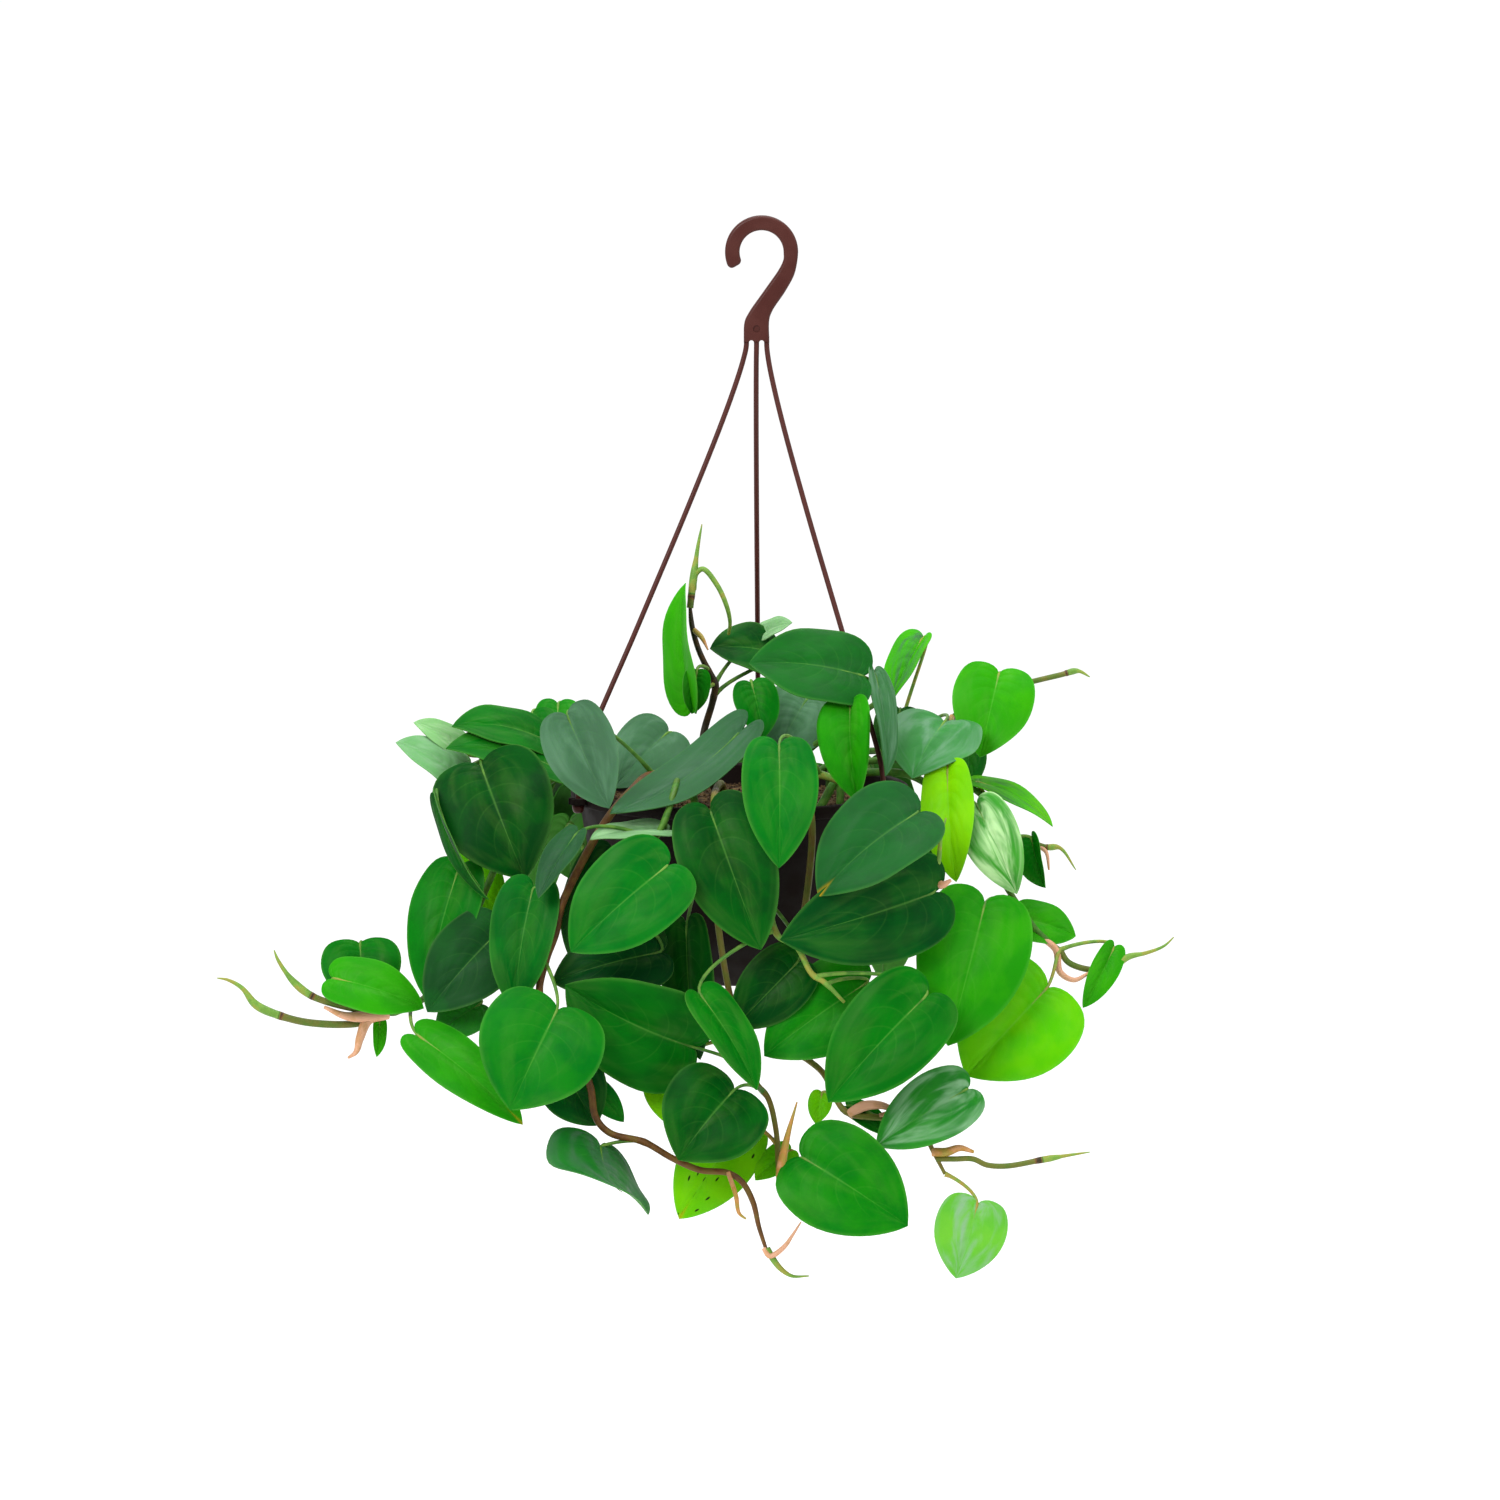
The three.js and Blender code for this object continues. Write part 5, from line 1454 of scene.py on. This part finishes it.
@dataclass
class PottingMix:
    """The soil in the pot with a lumpy top and loose crumbs."""

    rings: int = 30
    lump_height: float = 1.1
    crumb_density: float = 90000.0
    crumb_radius: float = 0.9
    seed: int = 11
    lathe: Lathe = field(default_factory=lambda: Lathe(120))

    def lumps(self, x: np.ndarray, y: np.ndarray) -> np.ndarray:
        """Gives how far the top stands up at each place, from three sets of low waves.

        Args:
            x: the places across.
            y: the places in depth.

        Returns:
            The heights.
        """
        coarse = np.sin(x / 6.1 + 1.3) * np.cos(y / 5.3 - 0.4)
        middle = np.sin(x / 2.7 - y / 3.4 + 0.9)
        fine = np.sin(x / 1.3 + 2.1) * np.sin(y / 1.5 + 0.6)
        return self.lump_height * (0.5 * coarse + 0.3 * middle + 0.3 * fine)

    def build(self, finish: Material) -> None:
        """Builds the soil and its crumbs and puts them in place.

        Args:
            finish: the look of the mix.
        """
        edge = bowl_radius(-SOIL_BELOW_RIM) - POT_WALL - FIT_GAP
        bottom = -POT_HEIGHT + POT_FLOOR + FIT_GAP
        wall = np.linspace(bottom, -SOIL_BELOW_RIM, 12)
        top = np.linspace(edge - 0.4, 2.0, self.rings)
        profile = [
            (0.0, bottom),
            *[(bowl_radius(h) - POT_WALL - FIT_GAP, h) for h in wall],
            *[(radius, soil_height(radius)) for radius in top],
            (0.0, soil_height(0.0)),
        ]
        points, faces = self.lathe.rings(profile, POT_AXIS_X, 0.0, -RIM_DROP)
        reach = np.hypot(points[:, 0] - POT_AXIS_X, points[:, 1])
        upper = (reach < edge - 0.1) & (points[:, 2] > -RIM_DROP - SOIL_BELOW_RIM - 0.1)
        points[upper, 2] += self.lumps(points[upper, 0], points[upper, 1])
        soil = mesh_object("potting_mix_bed", points, faces)
        smooth(soil, SOIL_SMOOTHING)
        dress(soil, finish, Slot.MIX, "soil")
        flat = [f for f in faces if all(upper[i] for i in f)]
        used = sorted({i for f in flat for i in f})
        number = {old: new for new, old in enumerate(used)}
        sheet = mesh_object(
            "potting_mix_crumbs", points[used], [tuple(number[i] for i in f) for f in flat]
        )
        values = {"Density": self.crumb_density, "Radius": self.crumb_radius * MM, "Seed": self.seed}
        crumbs = Crumbs().run(sheet, {**values, "Finish": finish})
        dress(crumbs, finish, Slot.MIX, "soil")


@dataclass
class HookHanger:
    """The moulded hook, its three strands and the bead under each lug."""

    inner: float = 10.9
    band: float = 7.3
    thickness: float = 5.6
    edge_round: float = 1.5
    end_angle: float = 209.0
    shank_end: float = 56.0
    shank_middle: float = -2.5
    shank_width: float = 12.8
    end_round: float = 2.4
    dimple: float = 1.8
    dimple_height: float = 7.0
    dimple_depth: float = 1.4
    arc_steps: int = 56
    gap_sides: int = 24
    dimple_sides: int = 16
    strand_sides: int = 16
    strand_steps: int = 64
    bead_sides: int = 32
    strand_pitch: float = 5.1
    strand_bow: float = 3.3
    bead_radius: float = 3.1
    bead_height: float = 4.0
    bead_top: float = -4.0 - FIT_GAP

    def outline(self) -> list[tuple[float, float]]:
        """Gives the hook's side view: the outer arc, the rounded end, the inner arc and the shank.

        Returns:
            The closed row of points, across and up.
        """
        outer = self.inner + self.band
        middle = self.inner + self.band / 2
        left = self.shank_middle - self.shank_width / 2
        right = self.shank_middle + self.shank_width / 2
        arc = np.linspace(0, math.radians(self.end_angle) - self.end_round / middle, self.arc_steps)
        corner = np.linspace(0, math.pi / 2, 6)[1:]
        drop = self.end_round * (1 - np.cos(corner))
        turn = arc[-1] + self.end_round * np.sin(corner) / middle

        def ring(radii: Any, angles: np.ndarray) -> list[tuple[float, float]]:
            """Gives points round the middle of the throat."""
            return list(zip(radii * np.cos(angles), radii * np.sin(angles) - self.inner))

        outside = ring(outer, arc) + ring(outer - drop, turn)
        inside = ring((self.inner + drop)[::-1], turn[::-1]) + ring(self.inner, arc[::-1])
        descent = [
            (self.inner, -14.5), (9.0, -19.0), (1.8, -29.5), (left + 2.4, -41.5), (left + 0.4, -46.0),
        ]
        ascent = [
            (right, -44.5), (right + 1.6, -40.0), (11.8, -30.5), (16.3, -22.0), (outer - 0.3, -14.5),
        ]
        foot = [(left, -self.shank_end), (right, -self.shank_end)]
        down = self.eased([inside[-1], *descent, foot[0]])
        up = self.eased([foot[1], *ascent, outside[0]])
        return [*outside, *inside[:-1], *down, *up[:-1]]

    @staticmethod
    def eased(points: list[tuple[float, float]]) -> list[tuple[float, float]]:
        """Runs a smooth line through a row of points of the side view."""
        row = np.array([(x, 0.0, z) for x, z in points])
        return [(p[0], p[2]) for p in curve_points(row, 6 * (len(points) - 1))]

    def hook(self) -> Piece:
        """Makes the hook as a flat bar with rounded edges.

        Returns:
            The hook with its gaps and dimple cut.
        """
        curve = bpy.data.curves.new("hook_line", "CURVE")
        curve.dimensions = "2D"
        curve.fill_mode = "BOTH"
        line = curve.splines.new("POLY")
        points = self.outline()
        line.points.add(len(points) - 1)
        for place, (x, z) in zip(line.points, points):
            place.co = (x * MM, z * MM, 0.0, 1.0)
        line.use_cyclic_u = True
        curve.extrude = (self.thickness / 2 - self.edge_round) * MM
        curve.bevel_depth = self.edge_round * MM
        curve.bevel_resolution = 4
        curve.offset = -self.edge_round * MM
        flat = linked("hook_line", curve)
        bpy.context.view_layer.update()
        mesh = bpy.data.meshes.new_from_object(flat.evaluated_get(bpy.context.evaluated_depsgraph_get()))
        bpy.data.objects.remove(flat, do_unlink=True)
        shape = bmesh.new()
        shape.from_mesh(mesh)
        for vertex in shape.verts:
            x, z, y = vertex.co
            vertex.co = (x, y, z)
        bmesh.ops.remove_doubles(shape, verts=shape.verts, dist=1e-6)
        bmesh.ops.recalc_face_normals(shape, faces=shape.faces)
        shape.to_mesh(mesh)
        shape.free()
        mesh.name = "hanger_hook"
        return self.marked(linked("hanger_hook", mesh))

    def marked(self, hook: Piece) -> Piece:
        """Cuts the round-topped gaps between the strands and the small dimple above them.

        Args:
            hook: the bar that they are cut into.

        Returns:
            The same hook.
        """
        gap = self.strand_pitch / 2 - STRAND_RADIUS
        tools = []
        for side in (-1, 1):
            x = self.shank_middle + side * self.strand_pitch / 2
            top = (x, 0.0, -self.shank_end)
            tools.append(self.across("gap", gap, 2 * self.thickness, top, self.gap_sides))
        front = (self.shank_middle, -self.thickness / 2, -self.shank_end + self.dimple_height)
        tools.append(self.across("dimple", self.dimple, self.dimple_depth, front, self.dimple_sides))
        return cut(hook, tools)

    @staticmethod
    def across(name: str, radius: float, length: float, middle: Any, sides: int) -> Piece:
        """Makes a rod that lies along the depth, round a middle point.

        Args:
            name: the object's name.
            radius: its radius.
            length: its full length.
            middle: its middle point.
            sides: how many sides it has round.

        Returns:
            The object, linked to the scene.
        """
        rod = cylinder(name, radius, length, (0.0, 0.0, 0.0), sides)
        turn = Matrix.Translation([value * MM for value in middle]) @ Matrix.Rotation(math.pi / 2, 4, "X")
        rod.data.transform(turn)
        return rod

    def strand_points(self, order: int, angle: float) -> np.ndarray:
        """Gives the line of one strand from the shank to its bead.

        Args:
            order: which strand it is, from the left.
            angle: its lug's place round the pot.

        Returns:
            The points that it runs through.
        """
        lug_x, lug_y = on_circle(LUG_CIRCLE, angle)
        x = self.shank_middle + (order - 1) * self.strand_pitch
        lug = np.array([POT_AXIS_X + lug_x, lug_y, -RIM_DROP])
        leaving = np.array([x, 0.0, -self.shank_end - 2])
        arriving = lug + np.array([0.0, 0.0, 14.0])
        inward = -self.strand_bow * unit(np.array([lug_x, lug_y, 0.0]))

        def bowed(share: float, bow: float) -> np.ndarray:
            """Gives the point at a share of the way, drawn in by a share of the bow."""
            return leaving + (arriving - leaving) * share + inward * bow

        bead = self.bead_top - self.bead_height / 2
        ends = [lug + np.array([0.0, 0.0, height]) for height in (8.0, 3.0, bead)]
        top = (x, 0.0, -self.shank_end + 3)
        return np.array([top, leaving, *[bowed(*pair) for pair in STRAND_BOW], *ends])

    def build(self, stock: RoundStock, finish: Material) -> None:
        """Builds the hanger and puts it in place.

        Args:
            stock: the maker of round rods.
            finish: the hanger's plastic.
        """
        hook = self.hook()
        smooth(hook, HANGER_SMOOTHING)
        dress(hook, finish, Slot.HANGER, "hanger")
        lefts = sorted(LUG_ANGLES, key=lambda angle: on_circle(1, angle)[0])
        strands = []
        for order, angle in enumerate(lefts):
            points = curve_points(self.strand_points(order, angle), self.strand_steps)
            strands.append(Strand(points, np.full(len(points), STRAND_RADIUS)))
        rods = stock.make("hanger_strands", strands, self.strand_sides, finish)
        dress(rods, finish, Slot.HANGER, "hanger")
        lathe = Lathe(self.bead_sides)
        profile = [(a * self.bead_radius, self.bead_top - b * self.bead_height) for a, b in BEAD_SECTION]
        for number, angle in enumerate(lefts):
            x, y = on_circle(LUG_CIRCLE, angle)
            points, faces = lathe.rings(profile, POT_AXIS_X + x, y, -RIM_DROP)
            bead = mesh_object(f"hanger_bead_{number + 1}", points, faces)
            smooth(bead, HANGER_SMOOTHING)
            dress(bead, finish, Slot.HANGER, "hanger")


@dataclass(frozen=True)
class BladeForm:
    """The form that all heart-shaped blades share."""

    outline: tuple[tuple[float, float], ...] = (
        (0.0, 0.0), (-0.055, 0.045), (-0.09, 0.14), (-0.085, 0.25), (-0.05, 0.35), (0.03, 0.43), (0.15, 0.48),
        (0.28, 0.5), (0.42, 0.49), (0.57, 0.445), (0.7, 0.37), (0.81, 0.275), (0.9, 0.17), (0.96, 0.08),
        (0.985, 0.03), (1.0, 0.0),
    )
    rows: int = 30
    columns: int = 8
    thickness: float = 0.5
    inset: float = 0.15
    droop: float = 0.5
    wave: float = 0.035
    wave_turns: float = 8.0
    bow: float = 0.045
    groove: float = 0.35
    groove_width: float = 1.3
    groove_fade: float = 1.4
    vein_lead: float = 2.2

    def frame_of(self, one: Leaf) -> tuple[np.ndarray, np.ndarray, np.ndarray]:
        """Gives a blade's axis from notch to tip, its direction across and its normal.

        Args:
            one: the leaf.

        Returns:
            The axis in its full length, and the other two of length one.
        """
        axis = one.tip - one.base
        along = unit(axis)
        normal = unit(one.facing - along * float(np.dot(one.facing, along)))
        return axis, np.cross(normal, along), normal

    def points(self, one: Leaf, u: np.ndarray, v: np.ndarray) -> np.ndarray:
        """Gives places on a blade's upper face.

        Args:
            one: the leaf.
            u: how far each place is from the notch to the tip.
            v: how far each place is across, from -0.5 to 0.5.

        Returns:
            The places in millimetres.
        """
        axis, across, normal = self.frame_of(one)
        length = float(np.linalg.norm(axis))
        wave = self.wave * 4 * v * v * np.sin(self.wave_turns * u + 2 * np.sign(v) + one.base[0] / 5)
        lift = one.width * (one.fold * np.abs(v) - self.droop * v * v + wave)
        rise = length * one.arch * 4 * u * (1 - u) + lift
        out = one.base + np.outer(u, axis) + np.outer(v * one.width, across)
        return out + np.outer(rise, normal)

    def grid(self) -> tuple[np.ndarray, np.ndarray, np.ndarray, np.ndarray]:
        """Gives one half's places and map: u and v of each, its row's share and its share outwards.

        Returns:
            Four arrays with a row for each side vein and a column for each step outwards.
        """
        line = np.array([(u, v, 0.0) for u, v in self.outline])
        rim = curve_points(line, self.rows)
        share = np.linspace(0, 1, self.rows + 1)
        middle = share**self.vein_lead
        outward = np.linspace(0, 1, self.columns + 1)
        u = middle[:, None] + (rim[:, 0] - middle)[:, None] * outward
        u -= self.bow * 4 * (outward * (1 - outward)) * np.sin(np.pi * share)[:, None]
        v = np.maximum(rim[:, 1], 0.0)[:, None] * outward
        down = np.repeat(share[:, None], self.columns + 1, 1)
        return u, v, down, np.repeat(outward[None, :], self.rows + 1, 0)


@dataclass
class BladePatch:
    """The mesh parts of one blade."""

    points: np.ndarray
    faces: list[tuple[int, ...]]
    maps: np.ndarray
    under: np.ndarray


class BladeMaker:
    """Builds the closed mesh of a blade with rows that follow its side veins."""

    def __init__(self, form: BladeForm) -> None:
        """Works out the numbering that all blades share.

        Args:
            form: the form of the blades.
        """
        self.form = form
        u, v, share, outward = form.grid()
        rows, columns = form.rows, form.columns
        self.u: list[float] = []
        self.v: list[float] = []
        self.maps: list[tuple[float, float]] = []
        ids = np.zeros((2, rows + 1, columns + 1), int)
        for half, sign in enumerate((1, -1)):
            for i in range(rows + 1):
                for j in range(columns + 1):
                    if half == 1 and (j == 0 or i in (0, rows)):
                        ids[half, i, j] = ids[0, i, j]
                        continue
                    if i in (0, rows) and j > 0:
                        ids[half, i, j] = ids[half, i, 0]
                        continue
                    ids[half, i, j] = len(self.u)
                    self.u.append(u[i, j])
                    self.v.append(sign * v[i, j])
                    self.maps.append((share[i, j], 0.5 + 0.5 * sign * outward[i, j]))
        self.count = len(self.u)
        self.faces: list[tuple[int, ...]] = []
        self.rims: list[tuple[int, int]] = []
        for half in (0, 1):
            for i in range(rows):
                for j in range(columns):
                    near, far = ids[half, i], ids[half, i + 1]
                    quad = [near[j], far[j], far[j + 1], near[j + 1]]
                    if half == 1:
                        quad.reverse()
                    ring = [int(a) for n, a in enumerate(quad) if a != quad[n - 1]]
                    if len(ring) > 2:
                        self.faces.append(tuple(ring))
                        self.faces.append(tuple(a + self.count for a in reversed(ring)))
                a, b = int(ids[half, i, columns]), int(ids[half, i + 1, columns])
                self.rims.append((a, b) if half == 0 else (b, a))
        self.faces += [(b, a, a + self.count, b + self.count) for a, b in self.rims]

    def make(self, one: Leaf) -> BladePatch:
        """Builds one blade.

        Args:
            one: the leaf.

        Returns:
            Its mesh parts, the upper face's points first.
        """
        form = self.form
        u, v = np.array(self.u), np.array(self.v)
        _, _, normal = form.frame_of(one)
        fade = np.clip(form.groove_fade - form.groove_fade * u, 0, 1)
        dip = form.groove * np.exp(-((v * one.width / form.groove_width) ** 2)) * fade
        upper = form.points(one, u, v) - np.outer(form.inset + dip, normal)
        lower = upper - normal * form.thickness
        points = np.concatenate([upper, lower])
        under = np.concatenate([np.zeros(self.count), np.ones(self.count)])
        return BladePatch(points, self.faces, np.array(self.maps * 2), under)


@dataclass
class LeafyStem:
    """One vine: its stem, leaf stalks, blades, sheaths and aerial roots."""

    vine: Vine
    order: int
    stalk_radius: float = 1.1
    stalk_end_radius: float = 0.75
    rib_end_radius: float = 0.18
    rib_start_radius: float = 0.55
    stem_taper: float = 0.35
    swelling: float = 0.1
    swelling_reach: float = 2.2
    stalk_start: float = 0.03
    stalk_depth: float = 0.6
    stalk_swelling: float = 0.35
    stalk_pull: float = 0.3
    stalk_lift: float = 0.15
    stalk_steps: int = 14
    rib_reach: tuple[float, float] = (0.1, 0.86)
    rib_steps: int = 10
    rolled_share: float = 0.78
    joint_ridge: float = 0.25
    stretch_steps: int = 9
    stem_sides: int = 10

    def line(self) -> np.ndarray:
        """Gives the points that the stem's curve runs through, from the soil's surface on.

        Returns:
            The row of points.
        """
        x, y = self.vine.root
        surface = soil_height(math.hypot(x, y)) - RIM_DROP
        return np.array([(POT_AXIS_X + x, y, surface + 1), *self.vine.route])

    def node_share(self, one: Leaf) -> float:
        """Gives how far along the stem a leaf's node is, at the nearest ring of its solid."""
        steps = math.floor(1.1 * len(self.vine.route) + 0.5) + 1
        return math.floor(one.node * steps + 0.5) / steps

    def stem(self, line: np.ndarray) -> Strand:
        """Makes the stem with its buried foot and a swelling at each node.

        Args:
            line: the points that it runs through.

        Returns:
            The stem from its foot to its end.
        """
        steps = self.stretch_steps * (len(line) - 1)
        curve = curve_points(line, steps)
        foot = line[0] - np.array([0.0, 0.0, ROOT_DEPTH + 1])
        nodes = [catmull_rom(line, self.node_share(one)) for one in self.vine.leaves]
        radii = self.vine.radius * (1 - self.stem_taper * np.linspace(0, 1, steps + 1))
        for place in nodes:
            away = np.linalg.norm(curve - place, axis=1)
            bump = np.exp(-((away / self.swelling_reach) ** 2))
            radii = radii + self.swelling * self.vine.radius * bump
        radii *= np.clip(6 * (1 - np.linspace(0, 1, steps + 1)) + 0.4, 0.4, 1.0) ** 0.5
        points = np.concatenate([[foot], curve])
        tone = STEM_TONES.get(self.vine.name, Tone.GREEN).value
        return Strand(points, np.concatenate([[self.vine.radius], radii]), tone)

    def stalk(self, one: Leaf, form: BladeForm, line: np.ndarray) -> Strand:
        """Makes a leaf's stalk, which runs on under the blade as its midrib.

        Args:
            one: the leaf.
            form: the form of its blade.
            line: the stem's line.

        Returns:
            The stalk from its node to near the tip.
        """
        axis, _, normal = form.frame_of(one)
        along = unit(axis)
        start = catmull_rom(line, self.node_share(one))
        end = form.points(one, np.array([self.stalk_start]), np.zeros(1))[0] - normal * self.stalk_depth
        reach = float(np.linalg.norm(end - start))
        controls = [
            start,
            start + (end - start) * self.stalk_pull + np.array([0.0, 0.0, self.stalk_lift * reach]),
            end - along * self.stalk_pull * reach - normal * 0.1 * reach,
            end,
        ]
        stalk = bezier_points(controls, self.stalk_steps)
        ribs = np.linspace(*self.rib_reach, self.rib_steps)
        depth = form.inset + form.groove + np.interp(ribs, (0.1, 0.4), (0.35, 0.7))
        rib = form.points(one, ribs, np.zeros(self.rib_steps)) - np.outer(depth, normal)
        points = np.concatenate([stalk, rib])
        share = np.linspace(0, 1, self.stalk_steps + 1)
        width = self.stalk_radius + (self.stalk_end_radius - self.stalk_radius) * share
        width = width * (1 + self.stalk_swelling * np.exp(-((share / 0.08) ** 2)))
        taper = np.linspace(self.rib_start_radius, self.rib_end_radius, self.rib_steps)
        tone = Tone.GREEN.value + 0.3 * one.youth
        return Strand(points, np.concatenate([width, taper]), tone)

    def shoot(self, number: int, one: Shoot) -> Strand:
        """Makes one spear, sheath or aerial root.

        Args:
            number: its place among the vine's shoots.
            one: the shoot.

        Returns:
            The shoot; a spear has an even stalk, a joint and a rolled blade that swells and tapers.
        """
        steps = self.stretch_steps * (len(one.route) - 1)
        points = curve_points(one.route, steps)
        share = np.linspace(0, 1, steps + 1)
        joint = SPEAR_JOINTS.get((self.vine.name, number))
        if joint is None:
            swell = 1 + 0.35 * np.sin(np.pi * share)
            radii = (one.start_radius + (one.end_radius - one.start_radius) * share) * swell
            return Strand(points, radii, SHOOT_TONES.get((self.vine.name, number), Tone.PALE).value)
        rolled = np.clip((share - joint) / (1 - joint), 0, 1)
        swell = self.rolled_share + 0.3 * np.sin(np.pi * np.minimum(2.2 * rolled, 1))
        blade = one.start_radius * swell * (1 - rolled) ** 0.8 + one.end_radius * rolled * 0.6
        ridge = self.joint_ridge * np.exp(-(((share - joint) / 0.02) ** 2))
        radii = np.where(share < joint, self.rolled_share * one.start_radius, blade) + ridge
        tone = np.where(share < joint, Tone.OLIVE.value + 0.1, Tone.PALE.value)
        tone = np.where(np.abs(share - joint) < 0.012, Tone.BARK.value, tone)
        return Strand(points, radii, tone)

    def blades(self, maker: BladeMaker) -> Piece:
        """Makes all of the vine's blades as one mesh.

        Args:
            maker: the builder of blades.

        Returns:
            The object with its map and each leaf's youth, tint, under side and looks.
        """
        patches = [maker.make(one) for one in self.vine.leaves]
        faces: list[tuple[int, ...]] = []
        first = 0
        for patch in patches:
            faces += [tuple(i + first for i in face) for face in patch.faces]
            first += len(patch.points)
        points = np.concatenate([patch.points for patch in patches])
        made = mesh_object(f"{self.vine.name}_leaves", points, faces)
        mesh = made.data
        maps = np.concatenate([patch.maps for patch in patches])
        corner = np.zeros(len(mesh.loops), np.int32)
        mesh.loops.foreach_get("vertex_index", corner)
        layer = mesh.uv_layers.new(name="blade_map")
        layer.data.foreach_set("uv", maps[corner].astype(np.float32).ravel())
        generator = np.random.default_rng(self.order)
        counts = [len(patch.points) for patch in patches]
        values = {
            "youth": np.repeat([one.youth for one in self.vine.leaves], counts),
            "tint": np.repeat(generator.uniform(-1, 1, len(patches)), counts),
            "under": np.concatenate([patch.under for patch in patches]),
        }
        looks = LOOKS.get(self.vine.name, {})
        marks = np.repeat([astuple(looks.get(i, Look())) for i in range(len(patches))], counts, axis=0)
        values.update(zip([one.name for one in fields(Look)], marks.T))
        for title, numbers in values.items():
            attribute = mesh.attributes.new(title, "FLOAT", "POINT")
            attribute.data.foreach_set("value", np.ascontiguousarray(numbers, np.float32))
        smooth(made, LEAF_SMOOTHING)
        return made

    def slot(self) -> Slot:
        """Gives the record's slot for this vine's foliage.

        Returns:
            The slot.
        """
        if self.vine.name in DARK_VINES:
            return Slot.DARK
        return Slot.YOUNG if self.vine.name in YOUNG_VINES else Slot.MID

    def build(
        self, maker: BladeMaker, stock: RoundStock, foliage: dict[Slot, Material], skin: Material
    ) -> None:
        """Builds the vine and puts it in place.

        Args:
            maker: the builder of blades.
            stock: the maker of round stems.
            foliage: the leaf material of each slot.
            skin: the stem material.
        """
        slot = self.slot()
        line = self.line()
        leaves = self.blades(maker)
        dress(leaves, foliage[slot], slot, self.vine.name)
        strands = [self.stem(line)]
        strands += [self.stalk(one, maker.form, line) for one in self.vine.leaves]
        strands += [self.shoot(number, one) for number, one in enumerate(self.vine.shoots)]
        stems = stock.make(f"{self.vine.name}_stems", strands, self.stem_sides, skin)
        dress(stems, skin, slot, self.vine.name)


@dataclass
class Studio:
    """The camera at the photograph's angle, a plain pale floor and soft light."""

    half_width: float = 375.0
    sensor: float = 36.0
    far_end: float = 200.0
    floor_height: float = -0.9
    floor_reach: float = 40.0
    air_strength: float = 1.05
    middle: Point = (0.0, 0.0, -0.3)

    def camera(self) -> None:
        """Makes the camera and makes it the scene's own."""
        data = bpy.data.cameras.new("camera")
        data.sensor_width = self.sensor
        data.lens = data.sensor_width / 2 / (self.half_width / VIEW_DISTANCE)
        data.clip_end = self.far_end
        made = linked("camera", data)
        made.location = placed((VIEW_MIDDLE[0], -VIEW_DISTANCE, VIEW_MIDDLE[1])) * MM
        made.rotation_euler = (math.pi / 2 - VIEW_TILT, 0.0, 0.0)
        bpy.context.scene.camera = made

    def floor(self) -> None:
        """Makes the floor far below the hanging plant."""
        reach = self.floor_reach
        corners = [(-reach, -reach), (reach, -reach), (reach, reach), (-reach, reach)]
        points = np.array([(x, y, self.floor_height) for x, y in corners]) / MM
        made = mesh_object("studio_floor", points, [(0, 1, 2, 3)])
        pale = {"Base Color": (0.98, 0.98, 0.98, 1.0), "Roughness": 0.9, "Specular IOR Level": 0.0}
        made.data.materials.append(Skin("pale_floor").finished(pale))

    def light(self, name: str, place: Point, size: float, power: float) -> None:
        """Adds one square soft light that looks at the middle of the plant.

        Args:
            name: the light's name.
            place: where it stands, in metres.
            size: the length of its side.
            power: its power in watts.
        """
        data = bpy.data.lights.new(name, "AREA")
        data.shape = "SQUARE"
        data.size = size
        data.energy = power
        made = linked(name, data)
        made.location = place
        away = np.array(place) - np.array(self.middle)
        level = math.hypot(away[0], away[1])
        made.rotation_euler = (math.atan2(level, away[2]), 0.0, math.atan2(away[0], -away[1]))

    def build(self) -> None:
        """Builds the whole studio."""
        self.camera()
        self.floor()
        world = bpy.data.worlds.new("studio_air")
        world.use_nodes = True
        air = {"Color": (1.0, 1.0, 1.0, 1.0), "Strength": self.air_strength}
        Wiring(world.node_tree).feed(world.node_tree.nodes["Background"], air)
        bpy.context.scene.world = world
        self.light("key_light", place=(-1.1, -1.7, 1.2), size=1.2, power=60.0)
        self.light("side_light", place=(1.6, -0.9, 0.5), size=0.9, power=12.0)
        self.light("top_light", place=(0.1, 0.2, 1.6), size=1.5, power=38.0)
        bpy.context.scene.view_settings.view_transform = "Standard"


def main() -> None:
    """Builds the studio and every piece of the plant in order."""
    logging.basicConfig(level=logging.INFO, format="%(name)s: %(message)s")
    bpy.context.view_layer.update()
    effects = Effects()
    stock = RoundStock()
    Studio().build()
    HookHanger().build(stock, PlasticFinish("hanger_brown").build(effects))
    # The pot is the hanger's brown plastic, but painted much darker as painted shade for the pot hanging in
    # the shade of the leaves
    dark = PlasticFinish("pot_brown", shine=0.1, roughness=(0.65, 0.85), clean=(14, 7, 5), worn=(24, 13, 9))
    HangingPot().build(dark.build(effects))
    PottingMix().build(MixFinish().build(effects))
    foliage = {
        Slot.DARK: FoliageFinish("dark_leaf", (0, 42, 12), (0, 84, 14), (30, 122, 4), (96, 158, 0)),
        Slot.MID: FoliageFinish("mid_leaf", (0, 46, 8), (1, 90, 6), (38, 132, 1), (102, 166, 0)),
        Slot.YOUNG: FoliageFinish("young_leaf", (0, 52, 6), (3, 98, 4), (50, 142, 0), (106, 170, 0)),
    }
    leafy = {slot: finish.build(effects) for slot, finish in foliage.items()}
    skin = StemFinish().build(effects)
    maker = BladeMaker(BladeForm())
    for order, one in enumerate(VINES):
        LeafyStem(one, order).build(maker, stock, leafy, skin)


if __name__ == "__main__":
    main()
